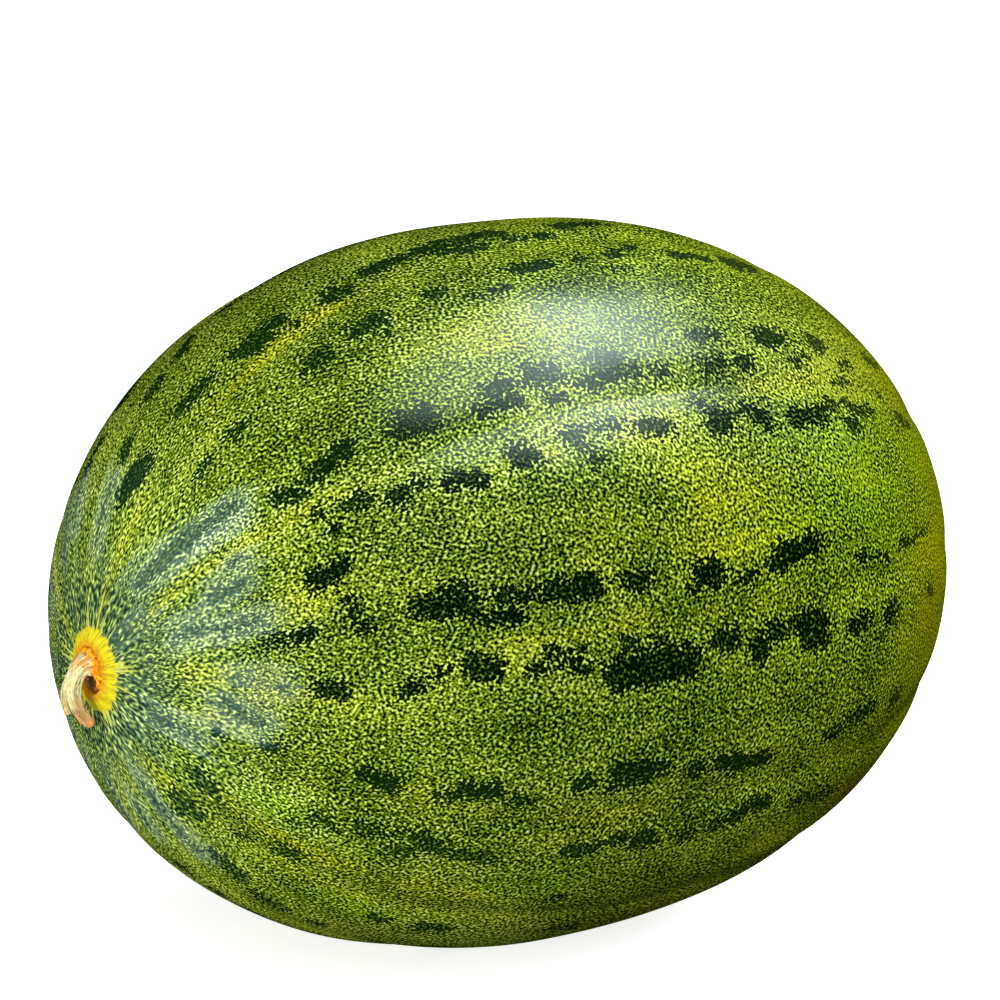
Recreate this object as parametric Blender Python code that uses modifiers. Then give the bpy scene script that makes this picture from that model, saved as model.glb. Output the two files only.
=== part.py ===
"""A piel de sapo melon lying on its side: the whole fruit and the dried stub of its stalk.

The long axis runs along X with the stem end at -X, +Z is up, and the origin is in the
small flat spot that the fruit rests on, under its middle.
"""

import math

import bmesh
import bpy
from mathutils import Matrix, Vector

# The whole fruit
LENGTH = 0.2285
WIDTH = 0.176
HEIGHT = 0.1707
FULLNESS = 2.3  # exponent of the side outline, where 2 is an ellipse
EGG = 0.0073  # how much wider the blossom end is than the middle, and the stem end narrower
STEM_DROP = 0.0032  # how far the stem end hangs below the middle line
STEM_DROP_START = 0.2  # where the drop starts, as a share of the way from middle to stem
TWIST = math.radians(3.7)  # turn of the sutures from the stem end to the blossom end
ROUND_POLE_RADIUS = 0.03  # the ends are round in section within this radius
REST_CUT = 0.0008  # depth of the flat spot under the fruit

# Sutures, the shallow furrows between the ribs, as angles from +Y through +Z
SUTURE_DEGREES = (30, 65, 100.5, 137, 170.5, 201, 227, 254, 288, 324, 359)
SUTURES = [math.radians(a) for a in SUTURE_DEGREES]
SUTURE_DEPTH = 0.0009
SUTURE_SPREAD = math.radians(2.8)
STEPS_PER_RIB = 8
STEP_CROWDING = 0.6  # 0 spaces the steps evenly, and near 1 crowds them at the sutures
BODY_STATIONS = 32

# The stem end: a raised corky collar round a socket
COLLAR_RADIUS = 0.0094
COLLAR_RISE = 0.0012
COLLAR_STEPS = 4
SOCKET_RADIUS = 0.0054
SOCKET_DEPTH = 0.002

# The blossom end: a small scar with a low rim and a dimple
SCAR_RADIUS = 0.0045
SCAR_RIM = 0.0003
SCAR_DIMPLE = 0.0004

# The stalk stub, measured outwards, sideways and up from the stem end of the body
GAP = 0.0003
ROOT_RADIUS = 0.0049
ROOT_FLARE = 0.0013  # how far the flared edge of the root stands out at the top
ROOT_TORN_SHARE = 0.25  # how much of the flare is left at the torn lower side
ROOT_CUP_FLOOR = 0.0002
ROOT_SIDES = 24
STALK_ROUTE = [
    (-0.0003, 0.0, 0.0002),
    (0.0012, 0.0001, 0.0006),
    (0.0027, 0.0002, 0.0003),
    (0.0040, 0.0003, -0.0012),
    (0.0046, 0.0003, -0.0036),
    (0.0041, 0.0001, -0.0064),
    (0.0029, -0.0003, -0.0091),
    (0.0018, -0.0007, -0.0112),
]
SLEEVE_RADII = (0.0034, 0.0014, 0.0007)  # at the root, past the first bend and at the tip
SLEEVE_NARROWS_BY = 0.42  # share of the route where the sleeve is down to its second radius
# Strips of the torn sleeve: degrees round it from its outer side towards +Y, share of the
# route covered, half thickness, and how far the tip splays out
STRIPS = [
    (-92, 1.0, 0.0008, 0.0),
    (-52, 1.0, 0.0009, 0.0),
    (-12, 0.94, 0.0009, 0.0003),
    (28, 0.8, 0.0009, 0.0019),
    (70, 0.66, 0.0008, 0.0008),
]
STRIP_POINTS = 14
STRIP_WIDENING = (1.5, 0.85)  # thickness at the root and at the tip, as shares of the middle
KNOB_RADIUS = 0.00135
KNOB_SHAPE = (0.9, 1.2, 0.95)

# Blocks that cut are made this much larger than what they cut
CUTTER_MARGIN = 0.02
MERGE = 0.00001


def clear_scene():
    """Removes whatever objects the opened file holds."""
    for ob in list(bpy.data.objects):
        bpy.data.objects.remove(ob, do_unlink=True)


def new_collection(name):
    collection = bpy.data.collections.new(name)
    bpy.context.scene.collection.children.link(collection)
    return collection


def material(name, colour, roughness):
    made = bpy.data.materials.new(name)
    made.use_nodes = True
    shader = made.node_tree.nodes["Principled BSDF"]
    shader.inputs["Base Color"].default_value = (*colour, 1.0)
    shader.inputs["Roughness"].default_value = roughness
    shader.inputs["Metallic"].default_value = 0.0
    return made


def smooth(t):
    """Eases from 0 to 1 as t goes from 0 to 1, and stays there outside."""
    t = min(1.0, max(0.0, t))
    return t * t * (3.0 - 2.0 * t)


def body_radius(x):
    """Radius of the round body at x, which is -1 at the stem end and 1 at the blossom end."""
    return WIDTH / 2 * math.sqrt(max(0.0, 1.0 - abs(x) ** FULLNESS)) * (1.0 + EGG * x)


def station(radius, end):
    """Place along the body, near the end -1 or 1, where it has this radius."""
    share = radius / (WIDTH / 2 * (1.0 + EGG * end))
    return end * (1.0 - share * share) ** (1.0 / FULLNESS)


def stem_profile():
    """Socket floor, socket wall and collar, as radius and place along the axis."""
    end = -LENGTH / 2
    points = [(0.0, end + SOCKET_DEPTH), (SOCKET_RADIUS, end + SOCKET_DEPTH)]
    for i in range(COLLAR_STEPS):
        t = i / COLLAR_STEPS
        radius = SOCKET_RADIUS + (COLLAR_RADIUS - SOCKET_RADIUS) * t
        rise = COLLAR_RISE * (1.0 - t * t)
        points.append((radius, station(radius, -1) * LENGTH / 2 - rise))
    return points


def body_profile():
    """Side outline from the foot of the collar to the edge of the blossom scar."""
    first = math.acos(-station(COLLAR_RADIUS, -1))
    last = math.acos(-station(SCAR_RADIUS, 1))
    points = []
    for i in range(BODY_STATIONS + 1):
        x = -math.cos(first + (last - first) * i / BODY_STATIONS)
        points.append((body_radius(x), x * LENGTH / 2))
    return points


def scar_profile():
    """Low rim and dimple of the blossom scar, out to the axis."""
    rim = SCAR_RADIUS * 0.75
    slope = SCAR_RADIUS * 0.3
    return [
        (rim, station(rim, 1) * LENGTH / 2 + SCAR_RIM),
        (slope, LENGTH / 2),
        (0.0, LENGTH / 2 - SCAR_DIMPLE),
    ]


def turned(name, profile, steps):
    """Turns (radius, drop) points round Z, the drop measured down from the origin."""
    mesh = bpy.data.meshes.new(name)
    verts = [(radius, 0.0, -drop) for radius, drop in profile]
    mesh.from_pydata(verts, [(i, i + 1) for i in range(len(verts) - 1)], [])
    ob = bpy.data.objects.new(name, mesh)
    bpy.context.scene.collection.objects.link(ob)
    screw = ob.modifiers.new("Turn", "SCREW")
    screw.axis = "Z"
    screw.angle = 2.0 * math.pi
    screw.steps = steps
    screw.render_steps = steps
    screw.use_merge_vertices = True
    screw.merge_threshold = MERGE
    return as_mesh(ob)


def as_mesh(ob):
    """Replaces an object by a plain mesh of what its curve or modifiers give."""
    graph = bpy.context.evaluated_depsgraph_get()
    mesh = bpy.data.meshes.new_from_object(ob.evaluated_get(graph))
    name, place = ob.name, ob.matrix_world.copy()
    bpy.data.objects.remove(ob, do_unlink=True)
    work = bmesh.new()
    work.from_mesh(mesh)
    bmesh.ops.remove_doubles(work, verts=work.verts, dist=MERGE)
    work.to_mesh(mesh)
    work.free()
    made = bpy.data.objects.new(name, mesh)
    made.matrix_world = place
    return made


def suture_angle(share):
    """Angle round the fruit for a share of the turn that gives every rib equal steps."""
    along = (share % 1.0) * len(SUTURES)
    rib = min(int(along), len(SUTURES) - 1)
    t = along - rib
    t -= STEP_CROWDING * math.sin(2.0 * math.pi * t) / (2.0 * math.pi)
    start = SUTURES[rib]
    end = SUTURES[rib + 1] if rib + 1 < len(SUTURES) else SUTURES[0] + 2.0 * math.pi
    return start + (end - start) * t


def suture_share(angle):
    """How far a suture draws the surface in at this angle, as a share of its depth."""
    total = 0.0
    for suture in SUTURES:
        off = (angle - suture + math.pi) % (2.0 * math.pi) - math.pi
        total += math.exp(-0.5 * (off / SUTURE_SPREAD) ** 2)
    return total


def lying(point):
    """Carries a point of the round upright form to its place on the lying fruit."""
    x = -point.z / (LENGTH / 2)
    radius = math.hypot(point.x, point.y)
    share = 0.25 - math.atan2(point.y, point.x) / (2.0 * math.pi)
    angle = suture_angle(share)
    drawn_in = smooth(radius / ROUND_POLE_RADIUS) * suture_share(angle)
    radius *= 1.0 - SUTURE_DEPTH / (WIDTH / 2) * drawn_in
    angle += TWIST * (x + 1.0) / 2.0
    flat = 1.0 - (1.0 - HEIGHT / WIDTH) * smooth(radius / ROUND_POLE_RADIUS)
    drop = STEM_DROP * max(0.0, (-x - STEM_DROP_START) / (1.0 - STEM_DROP_START)) ** 2
    return Vector(
        (-point.z, radius * math.cos(angle), radius * flat * math.sin(angle) - drop)
    )


def fruit(collection, cutters):
    """The grown fruit in one solid, cut flat where it rests."""
    profile = stem_profile() + body_profile() + scar_profile()
    ob = turned("fruit", profile, STEPS_PER_RIB * len(SUTURES))
    for vert in ob.data.vertices:
        vert.co = lying(vert.co)
    ob.data.transform(Matrix.Translation((0.0, 0.0, HEIGHT / 2 - REST_CUT)))
    collection.objects.link(ob)

    side = LENGTH + CUTTER_MARGIN
    bpy.ops.mesh.primitive_cube_add(size=side, location=(0.0, 0.0, -side / 2))
    block = bpy.context.active_object
    block.name = "rest_cutter"
    for holder in list(block.users_collection):
        holder.objects.unlink(block)
    cutters.objects.link(block)
    block.hide_render = True
    block.display_type = "WIRE"
    cut = ob.modifiers.new("Rest spot", "BOOLEAN")
    cut.operation = "DIFFERENCE"
    cut.object = block
    ob.data.materials.append(material("rind", (0.19, 0.23, 0.025), 0.42))
    ob.data.shade_smooth()
    ob.data.set_sharp_from_angle(angle=math.radians(35))
    return ob


def stem_point(out, side, up):
    """World place of a point measured from the stem end of the body."""
    return Vector((-LENGTH / 2 - out, side, HEIGHT / 2 - REST_CUT - STEM_DROP + up))


def stalk_root():
    """Plug in the socket, with a shallow cup in its flared and torn outer face."""
    profile = [
        (0.0, -ROOT_CUP_FLOOR),
        (ROOT_RADIUS * 0.55, -ROOT_CUP_FLOOR),
        (ROOT_RADIUS * 0.8, -ROOT_FLARE),
        (ROOT_RADIUS * 0.93, -ROOT_FLARE),
        (ROOT_RADIUS, -ROOT_FLARE * 0.4),
        (ROOT_RADIUS * 0.96, SOCKET_DEPTH - GAP),
        (0.0, SOCKET_DEPTH - GAP),
    ]
    ob = turned("stalk_root", profile, ROOT_SIDES)
    for vert in ob.data.vertices:
        place = vert.co
        upper = smooth(0.5 + (0.8 * place.x - 0.6 * place.y) / (2.0 * ROOT_RADIUS))
        if place.z > ROOT_CUP_FLOOR:
            place.z *= ROOT_TORN_SHARE + (1.0 - ROOT_TORN_SHARE) * upper
        vert.co = stem_point(place.z, place.y, place.x)
    return ob


def route_at(t):
    """Point of the stalk's route at a share t of its points, eased between them."""
    along = min(t, 0.99999) * (len(STALK_ROUTE) - 1)
    i = int(along)
    f = along - i
    p = [Vector(STALK_ROUTE[min(max(j, 0), len(STALK_ROUTE) - 1)]) for j in range(i - 1, i + 3)]
    return 0.5 * (
        2.0 * p[1]
        + (p[2] - p[0]) * f
        + (2.0 * p[0] - 5.0 * p[1] + 4.0 * p[2] - p[3]) * f * f
        + (3.0 * (p[1] - p[2]) + p[3] - p[0]) * f ** 3
    )


def sleeve_radius(t):
    """Distance of the strips from the stalk's route, wide at the root and slim past the bend."""
    root, middle, tip = SLEEVE_RADII
    if t < SLEEVE_NARROWS_BY:
        return root + (middle - root) * smooth(t / SLEEVE_NARROWS_BY)
    return middle + (tip - middle) * (t - SLEEVE_NARROWS_BY) / (1.0 - SLEEVE_NARROWS_BY)


def strip(name, degrees, share, half_thickness, splay):
    """One strip of the torn sleeve, a tapered tube beside the stalk's route."""
    sideways = Vector((0.0, 1.0, 0.0))
    around = math.radians(degrees)
    curve = bpy.data.curves.new(name, "CURVE")
    curve.dimensions = "3D"
    curve.bevel_depth = half_thickness
    curve.bevel_resolution = 2
    curve.use_fill_caps = True
    spline = curve.splines.new("POLY")
    spline.points.add(STRIP_POINTS - 1)
    root_width, tip_width = STRIP_WIDENING
    for i, point in enumerate(spline.points):
        done = i / (STRIP_POINTS - 1)
        t = share * done
        ahead = (route_at(t + 0.01) - route_at(max(0.0, t - 0.01))).normalized()
        outwards = ahead.cross(sideways).normalized()
        away = math.cos(around) * outwards + math.sin(around) * sideways
        radius = sleeve_radius(t) + splay * smooth(2.0 * done - 1.0)
        point.co = (*stem_point(*(route_at(t) + radius * away)), 1.0)
        point.radius = 1.0 + (root_width - 1.0) * smooth(1.0 - 2.0 * done)
        point.radius += (tip_width - 1.0) * done
    ob = bpy.data.objects.new(curve.name, curve)
    bpy.context.scene.collection.objects.link(ob)
    return as_mesh(ob)


def knob():
    """Dried lump at the end of the longest strips."""
    mesh = bpy.data.meshes.new("knob")
    work = bmesh.new()
    bmesh.ops.create_uvsphere(work, u_segments=12, v_segments=8, radius=KNOB_RADIUS)
    bmesh.ops.scale(work, vec=KNOB_SHAPE, verts=work.verts)
    work.to_mesh(mesh)
    work.free()
    ob = bpy.data.objects.new("knob", mesh)
    ob.data.transform(Matrix.Translation(stem_point(*STALK_ROUTE[-1])))
    return ob


def stalk(collection):
    """The stalk stub in one solid: root, torn strips and end knob, joined."""
    root = stalk_root()
    root.name = "stalk_stub"
    collection.objects.link(root)
    pieces = new_collection("Stalk pieces")
    for index, sizes in enumerate(STRIPS):
        pieces.objects.link(strip(f"strip_{index}", *sizes))
    pieces.objects.link(knob())
    union = root.modifiers.new("Join", "BOOLEAN")
    union.operation = "UNION"
    union.operand_type = "COLLECTION"
    union.collection = pieces
    graph = bpy.context.evaluated_depsgraph_get()
    joined = bpy.data.meshes.new_from_object(root.evaluated_get(graph))
    root.modifiers.clear()
    root.data = joined
    for piece in list(pieces.objects):
        bpy.data.objects.remove(piece, do_unlink=True)
    bpy.data.collections.remove(pieces)
    root.data.materials.append(material("dried_stalk", (0.55, 0.36, 0.16), 0.8))
    root.data.shade_smooth()
    root.data.set_sharp_from_angle(angle=math.radians(50))
    return root


def main():
    clear_scene()
    parts = new_collection("Piel de sapo melon")
    cutters = new_collection("Cutters")
    fruit(parts, cutters)
    stalk(parts)


main()
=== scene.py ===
"""The looks of a piel de sapo melon: its rind with specks and blotches, collar, scar and stalk.

The fruit lies along X with its stem end at -X and +Z up, in metres. Its form repeats the formula
of its solid. Markings are measured in millimetres along the rind from the stem end and sideways
from the line of a suture.
"""

import logging
import math
from collections.abc import Sequence
from dataclasses import dataclass, field
from enum import Enum

import bmesh
import bpy
import numpy as np
from mathutils import Matrix, Vector


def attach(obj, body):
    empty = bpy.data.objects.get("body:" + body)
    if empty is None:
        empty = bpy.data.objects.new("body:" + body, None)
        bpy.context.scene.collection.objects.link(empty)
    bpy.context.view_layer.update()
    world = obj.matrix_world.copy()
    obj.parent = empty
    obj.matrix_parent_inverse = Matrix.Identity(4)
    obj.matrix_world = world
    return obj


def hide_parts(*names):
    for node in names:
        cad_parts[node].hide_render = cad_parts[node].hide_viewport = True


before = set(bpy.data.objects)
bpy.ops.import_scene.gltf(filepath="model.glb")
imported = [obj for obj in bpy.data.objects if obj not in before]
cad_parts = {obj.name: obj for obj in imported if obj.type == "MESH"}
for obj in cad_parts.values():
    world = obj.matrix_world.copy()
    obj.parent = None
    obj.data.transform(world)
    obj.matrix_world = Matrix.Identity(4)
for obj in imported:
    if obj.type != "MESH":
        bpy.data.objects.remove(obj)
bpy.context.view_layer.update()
LOG = logging.getLogger("melon")
Colour = tuple[float, float, float]
Stops = tuple[tuple[float, Colour], ...]
Span = tuple[float, float]
BODY = "root"
MM = 1000.0  # millimetres in a metre
TURN = 2.0 * math.pi
WHITE: Colour = (1.0, 1.0, 1.0)
COOL: Colour = (0.78, 0.94, 1.0)


class Attribute(Enum):
    """Names of the values that the meshes carry to their finishes."""

    RING = "ring"
    STATION = "station"
    ARC = "arc"
    BLOTCH = "blotch"
    STREAK = "streak"
    GROOVE = "groove"
    TONE = "tone"
    PALE_AND_SHEEN = "pale"
    ALONG = "along"
    AROUND = "around"
    PART = "part"
    HALF = "half"


class Term:
    """A value in a node tree that joins to others with plain arithmetic."""

    def __init__(self, graph: "Graph", socket: bpy.types.NodeSocket) -> None:
        """Holds an output socket of a graph.

        Args:
            graph: The graph that the socket belongs to.
            socket: The output that carries the value.
        """
        self.graph = graph
        self.socket = socket

    def math(self, operation: str, *others: "Term | float") -> "Term":
        """Joins this value to others with one Math node.

        Args:
            operation: The Math node's operation.
            others: The values that follow this one.

        Returns:
            The node's result.
        """
        node = self.graph.tree.nodes.new("ShaderNodeMath")
        node.operation = operation
        for place, value in enumerate((self, *others)):
            self.graph.feed(node.inputs[place], value)
        return Term(self.graph, node.outputs[0])

    def __add__(self, other: "Term | float") -> "Term":
        """The sum."""
        return self.math("ADD", other)

    def __sub__(self, other: "Term | float") -> "Term":
        """The difference."""
        return self.math("SUBTRACT", other)

    def __mul__(self, other: "Term | float") -> "Term":
        """The product."""
        return self.math("MULTIPLY", other)

    def __truediv__(self, other: "Term | float") -> "Term":
        """The quotient."""
        return self.math("DIVIDE", other)

    def __pow__(self, other: "Term | float") -> "Term":
        """This value to a power."""
        return self.math("POWER", other)

    def __rsub__(self, other: float) -> "Term":
        """A number less this value."""
        return (self * -1.0) + other

    __radd__ = __add__
    __rmul__ = __mul__

    def least(self, other: "Term | float") -> "Term":
        """The smaller of two values."""
        return self.math("MINIMUM", other)

    def most(self, other: "Term | float") -> "Term":
        """The larger of two values."""
        return self.math("MAXIMUM", other)

    def rise(self, low: "Term | float", high: "Term | float", smooth: bool = True) -> "Term":
        """Goes from 0 to 1 as this value goes from low to high.

        Args:
            low: Where the rise starts.
            high: Where it ends, which may be the smaller of the two for a fall.
            smooth: Whether it eases in and out.

        Returns:
            The share, which stays within 0 and 1.
        """
        node = self.graph.tree.nodes.new("ShaderNodeMapRange")
        node.interpolation_type = "SMOOTHSTEP" if smooth else "LINEAR"
        self.graph.feed(node.inputs["Value"], self)
        self.graph.feed(node.inputs["From Min"], low)
        self.graph.feed(node.inputs["From Max"], high)
        return Term(self.graph, node.outputs["Result"])


Value = Term | float


class Graph:
    """Adds nodes to a tree and hands their outputs back as terms."""

    def __init__(self, tree: bpy.types.NodeTree) -> None:
        """Works on an existing tree.

        Args:
            tree: The tree that gets the nodes.
        """
        self.tree = tree

    def feed(self, socket: bpy.types.NodeSocket, value: object) -> None:
        """Sets an input to a number or colour, or links a term to it.

        Args:
            socket: The input.
            value: A term, or a value that the socket takes.
        """
        if isinstance(value, Term):
            self.tree.links.new(value.socket, socket)
        elif socket.type == "RGBA" and len(value) == 3:
            socket.default_value = (*value, 1.0)
        else:
            socket.default_value = value

    def add(self, kind: str, inputs: dict[str | int, object] | None = None,
            **settings: object) -> bpy.types.Node:
        """Adds a node.

        Args:
            kind: The node's type.
            inputs: Values or terms by input name or place.
            settings: The node's own properties.

        Returns:
            The node.
        """
        node = self.tree.nodes.new(kind)
        for name, value in settings.items():
            setattr(node, name, value)
        for name, value in (inputs or {}).items():
            self.feed(node.inputs[name], value)
        return node

    def term(self, node: bpy.types.Node, output: str | int = 0) -> Term:
        """One output of a node as a term."""
        return Term(self, node.outputs[output])

    def new(self, kind: str, inputs: dict[str | int, object] | None = None, output: str | int = 0,
            **settings: object) -> Term:
        """Adds a node and hands back one of its outputs.

        Args:
            kind: The node's type.
            inputs: Values or terms by input name or place.
            output: The output's name or place.
            settings: The node's own properties.

        Returns:
            The output as a term.
        """
        return self.term(self.add(kind, inputs, **settings), output)

    def attribute(self, kind: Attribute, output: str = "Fac") -> Term:
        """What the mesh keeps under a name, as a material reads it."""
        return self.new("ShaderNodeAttribute", output=output, attribute_name=kind.value)

    def position(self) -> Term:
        """The point's place in the frame, as a material reads it."""
        return self.new("ShaderNodeTexCoord", output="Object")

    def vector(self, x: Value, y: Value, z: Value) -> Term:
        """Three values as one vector."""
        return self.new("ShaderNodeCombineXYZ", {0: x, 1: y, 2: z})

    def parts(self, vector: Term) -> tuple[Term, Term, Term]:
        """The three values of a vector."""
        node = self.add("ShaderNodeSeparateXYZ", {0: vector})
        return self.term(node, 0), self.term(node, 1), self.term(node, 2)

    def scaled(self, vector: Term, share: Value) -> Term:
        """A vector times a number."""
        return self.new("ShaderNodeVectorMath", {0: vector, "Scale": share}, operation="SCALE")

    def sum_of(self, first: Term, second: Term) -> Term:
        """The sum of two vectors."""
        return self.new("ShaderNodeVectorMath", {0: first, 1: second}, operation="ADD")

    def noise(self, place: Term, scale: float = 1.0, detail: float = 0.0, swirl: float = 0.0,
              flat: bool = False) -> Term:
        """Smooth noise round 0, mostly within -0.3 and 0.3.

        Args:
            place: Where it is read.
            scale: Its cells per unit of place.
            detail: Finer layers added to it.
            swirl: How far it is warped by itself.
            flat: Whether only the first two coordinates count, which makes its cells more even.

        Returns:
            The noise.
        """
        inputs = {"Vector": place, "Scale": scale, "Detail": detail, "Distortion": swirl}
        return self.new("ShaderNodeTexNoise", inputs, noise_dimensions="2D" if flat else "3D") - 0.5

    def mix(self, share: Value, first: object, second: object, blend: str = "MIX") -> Term:
        """Blends two colours.

        Args:
            share: How much of the second colour there is.
            first: A colour, or a term.
            second: A colour, or a term.
            blend: How the second one acts on the first.

        Returns:
            The blended colour.
        """
        inputs = {0: share, 6: first, 7: second}
        return self.new("ShaderNodeMix", inputs, 2, data_type="RGBA", blend_type=blend)

    def tinted(self, share: Value, colour: Term, tint: Colour) -> Term:
        """A colour multiplied by a tint, as far as the share says."""
        return self.mix(share, colour, tint, "MULTIPLY")

    def ramp(self, share: Term, stops: Stops) -> Term:
        """A colour that follows a value.

        Args:
            share: The value, from 0 to 1.
            stops: Places within 0 and 1 and the colour at each.

        Returns:
            The colour.
        """
        node = self.add("ShaderNodeValToRGB", {"Fac": share})
        band = node.color_ramp
        for place, colour in stops[1:-1]:
            band.elements.new(place).color = (*colour, 1.0)
        for element, (place, colour) in ((band.elements[0], stops[0]), (band.elements[-1], stops[-1])):
            element.position = place
            element.color = (*colour, 1.0)
        return self.term(node)


class Recipe(Graph):
    """A geometry tree with named inputs that ends in Realize Instances and Set Material."""

    def __init__(self, name: str) -> None:
        """Starts the tree with its output.

        Args:
            name: The tree's name.
        """
        super().__init__(bpy.data.node_groups.new(name, "GeometryNodeTree"))
        self.values: dict[str, object] = {}
        self.tree.interface.new_socket("Mesh", in_out="OUTPUT", socket_type="NodeSocketGeometry")
        self.entry: bpy.types.Node = self.tree.nodes.new("NodeGroupInput")

    def take(self, name: str, value: object, kind: str = "Float") -> Term:
        """Adds a named input.

        Args:
            name: The input's name.
            value: What the modifier sets it to, or None for the geometry itself.
            kind: The kind of socket.

        Returns:
            The input as a term.
        """
        item = self.tree.interface.new_socket(name, in_out="INPUT", socket_type=f"NodeSocket{kind}")
        if value is not None:
            self.values[item.identifier] = value
        return self.term(self.entry, name)

    def take_sizes(self, source: object, *names: str, kind: str = "Float") -> list[Term]:
        """Adds a named input for each of several sizes.

        Args:
            source: The dataclass that holds the sizes.
            names: The names of its fields.
            kind: The kind of socket.

        Returns:
            The inputs as terms.
        """
        return [self.take(name.replace("_", " ").capitalize(), getattr(source, name), kind) for name in names]

    def store(self, mesh: Term, attribute: Attribute, value: Value, vector: bool = False) -> Term:
        """Keeps a value on the mesh under a name.

        Args:
            mesh: The mesh that gets it.
            attribute: The name.
            value: What is kept.
            vector: Whether it is a vector.

        Returns:
            The mesh with the value.
        """
        inputs = {"Geometry": mesh, "Name": attribute.value, "Value": value}
        kind = "FLOAT_VECTOR" if vector else "FLOAT"
        return self.new("GeometryNodeStoreNamedAttribute", inputs, data_type=kind, domain="POINT")

    def kept(self, attribute: Attribute, kind: str = "FLOAT") -> Term:
        """A value that the geometry keeps under a name."""
        return self.new("GeometryNodeInputNamedAttribute", {"Name": attribute.value}, data_type=kind)

    def random(self, low: float, high: float, number: Term, seed: Term) -> Term:
        """A random value for each number.

        Args:
            low: The least value.
            high: The greatest value.
            number: Which draw it is.
            seed: The seed.

        Returns:
            The value.
        """
        inputs = {2: low, 3: high, "ID": number, "Seed": seed}
        return self.new("FunctionNodeRandomValue", inputs, 1, data_type="FLOAT")

    def join(self, *parts: Term) -> Term:
        """Several geometries as one."""
        node = self.tree.nodes.new("GeometryNodeJoinGeometry")
        for part in parts:
            self.tree.links.new(part.socket, node.inputs[0])
        return self.term(node)

    def end(self, mesh: Term, material: Term) -> None:
        """Closes the tree with a smooth shaded mesh.

        Args:
            mesh: The mesh that it gives.
            material: The material input.
        """
        smooth = self.new("GeometryNodeSetShadeSmooth", {"Geometry": mesh})
        real = self.new("GeometryNodeRealizeInstances", {"Geometry": smooth})
        dressed = self.new("GeometryNodeSetMaterial", {"Geometry": real, "Material": material})
        self.add("NodeGroupOutput", {"Mesh": dressed})

    def mesh(self, name: str, base: bpy.types.Mesh) -> bpy.types.Mesh:
        """Runs the tree on a mesh and gives the plain result.

        Args:
            name: The new mesh's name.
            base: What the tree starts from.

        Returns:
            The result with nothing live left on it.
        """
        holder = bpy.data.objects.new(name, base)
        bpy.context.scene.collection.objects.link(holder)
        modifier = holder.modifiers.new(name, "NODES")
        modifier.node_group = self.tree
        for identifier, value in self.values.items():
            modifier[identifier] = value
        graph = bpy.context.evaluated_depsgraph_get()
        made = bpy.data.meshes.new_from_object(holder.evaluated_get(graph))
        holder.modifiers.clear()
        bpy.data.objects.remove(holder, do_unlink=True)
        made.name = name
        return made


def smooth_step(value: np.ndarray, low: float, high: float) -> np.ndarray:
    """Eases from 0 to 1 as values go from low to high."""
    share = np.clip((value - low) / (high - low), 0.0, 1.0)
    return share * share * (3.0 - 2.0 * share)


def keep_values(mesh: bpy.types.Mesh, attribute: Attribute, values: np.ndarray) -> None:
    """Stores one number or one vector for each vertex.

    Args:
        mesh: The mesh that gets them.
        attribute: Their name.
        values: One row for each vertex.
    """
    vector = values.ndim == 2
    kind = "FLOAT_VECTOR" if vector else "FLOAT"
    kept = mesh.attributes.new(attribute.value, kind, "POINT")
    kept.data.foreach_set("vector" if vector else "value", values.astype(np.float32).ravel())


def read_values(mesh: bpy.types.Mesh, attribute: Attribute, width: int = 1) -> np.ndarray:
    """Reads what a mesh keeps under a name.

    Args:
        mesh: The mesh.
        attribute: The name.
        width: How many numbers there are for each vertex.

    Returns:
        The numbers, one row for each vertex if there are several.
    """
    kept = mesh.attributes[attribute.value]
    values = np.zeros(len(kept.data) * width, np.float32)
    kept.data.foreach_get("vector" if width > 1 else "value", values)
    return values.reshape(-1, width) if width > 1 else values


def new_material(name: str) -> tuple[bpy.types.Material, Graph, bpy.types.Node]:
    """Starts a material.

    Args:
        name: Its name.

    Returns:
        The material, its graph and its shader.
    """
    made = bpy.data.materials.new(name)
    made.use_nodes = True
    return made, Graph(made.node_tree), made.node_tree.nodes["Principled BSDF"]


def direction(azimuth: float, elevation: float) -> Vector:
    """A unit vector, from degrees round from +X towards +Y and degrees above the ground."""
    around, above = math.radians(azimuth), math.radians(elevation)
    return Vector((math.cos(around) * math.cos(above), math.sin(around) * math.cos(above), math.sin(above)))


def new_piece(name: str, mesh: bpy.types.Mesh) -> bpy.types.Object:
    """Puts a finished mesh in the scene as a piece at the origin."""
    piece = bpy.data.objects.new(name, mesh)
    bpy.context.scene.collection.objects.link(piece)
    return piece


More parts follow.
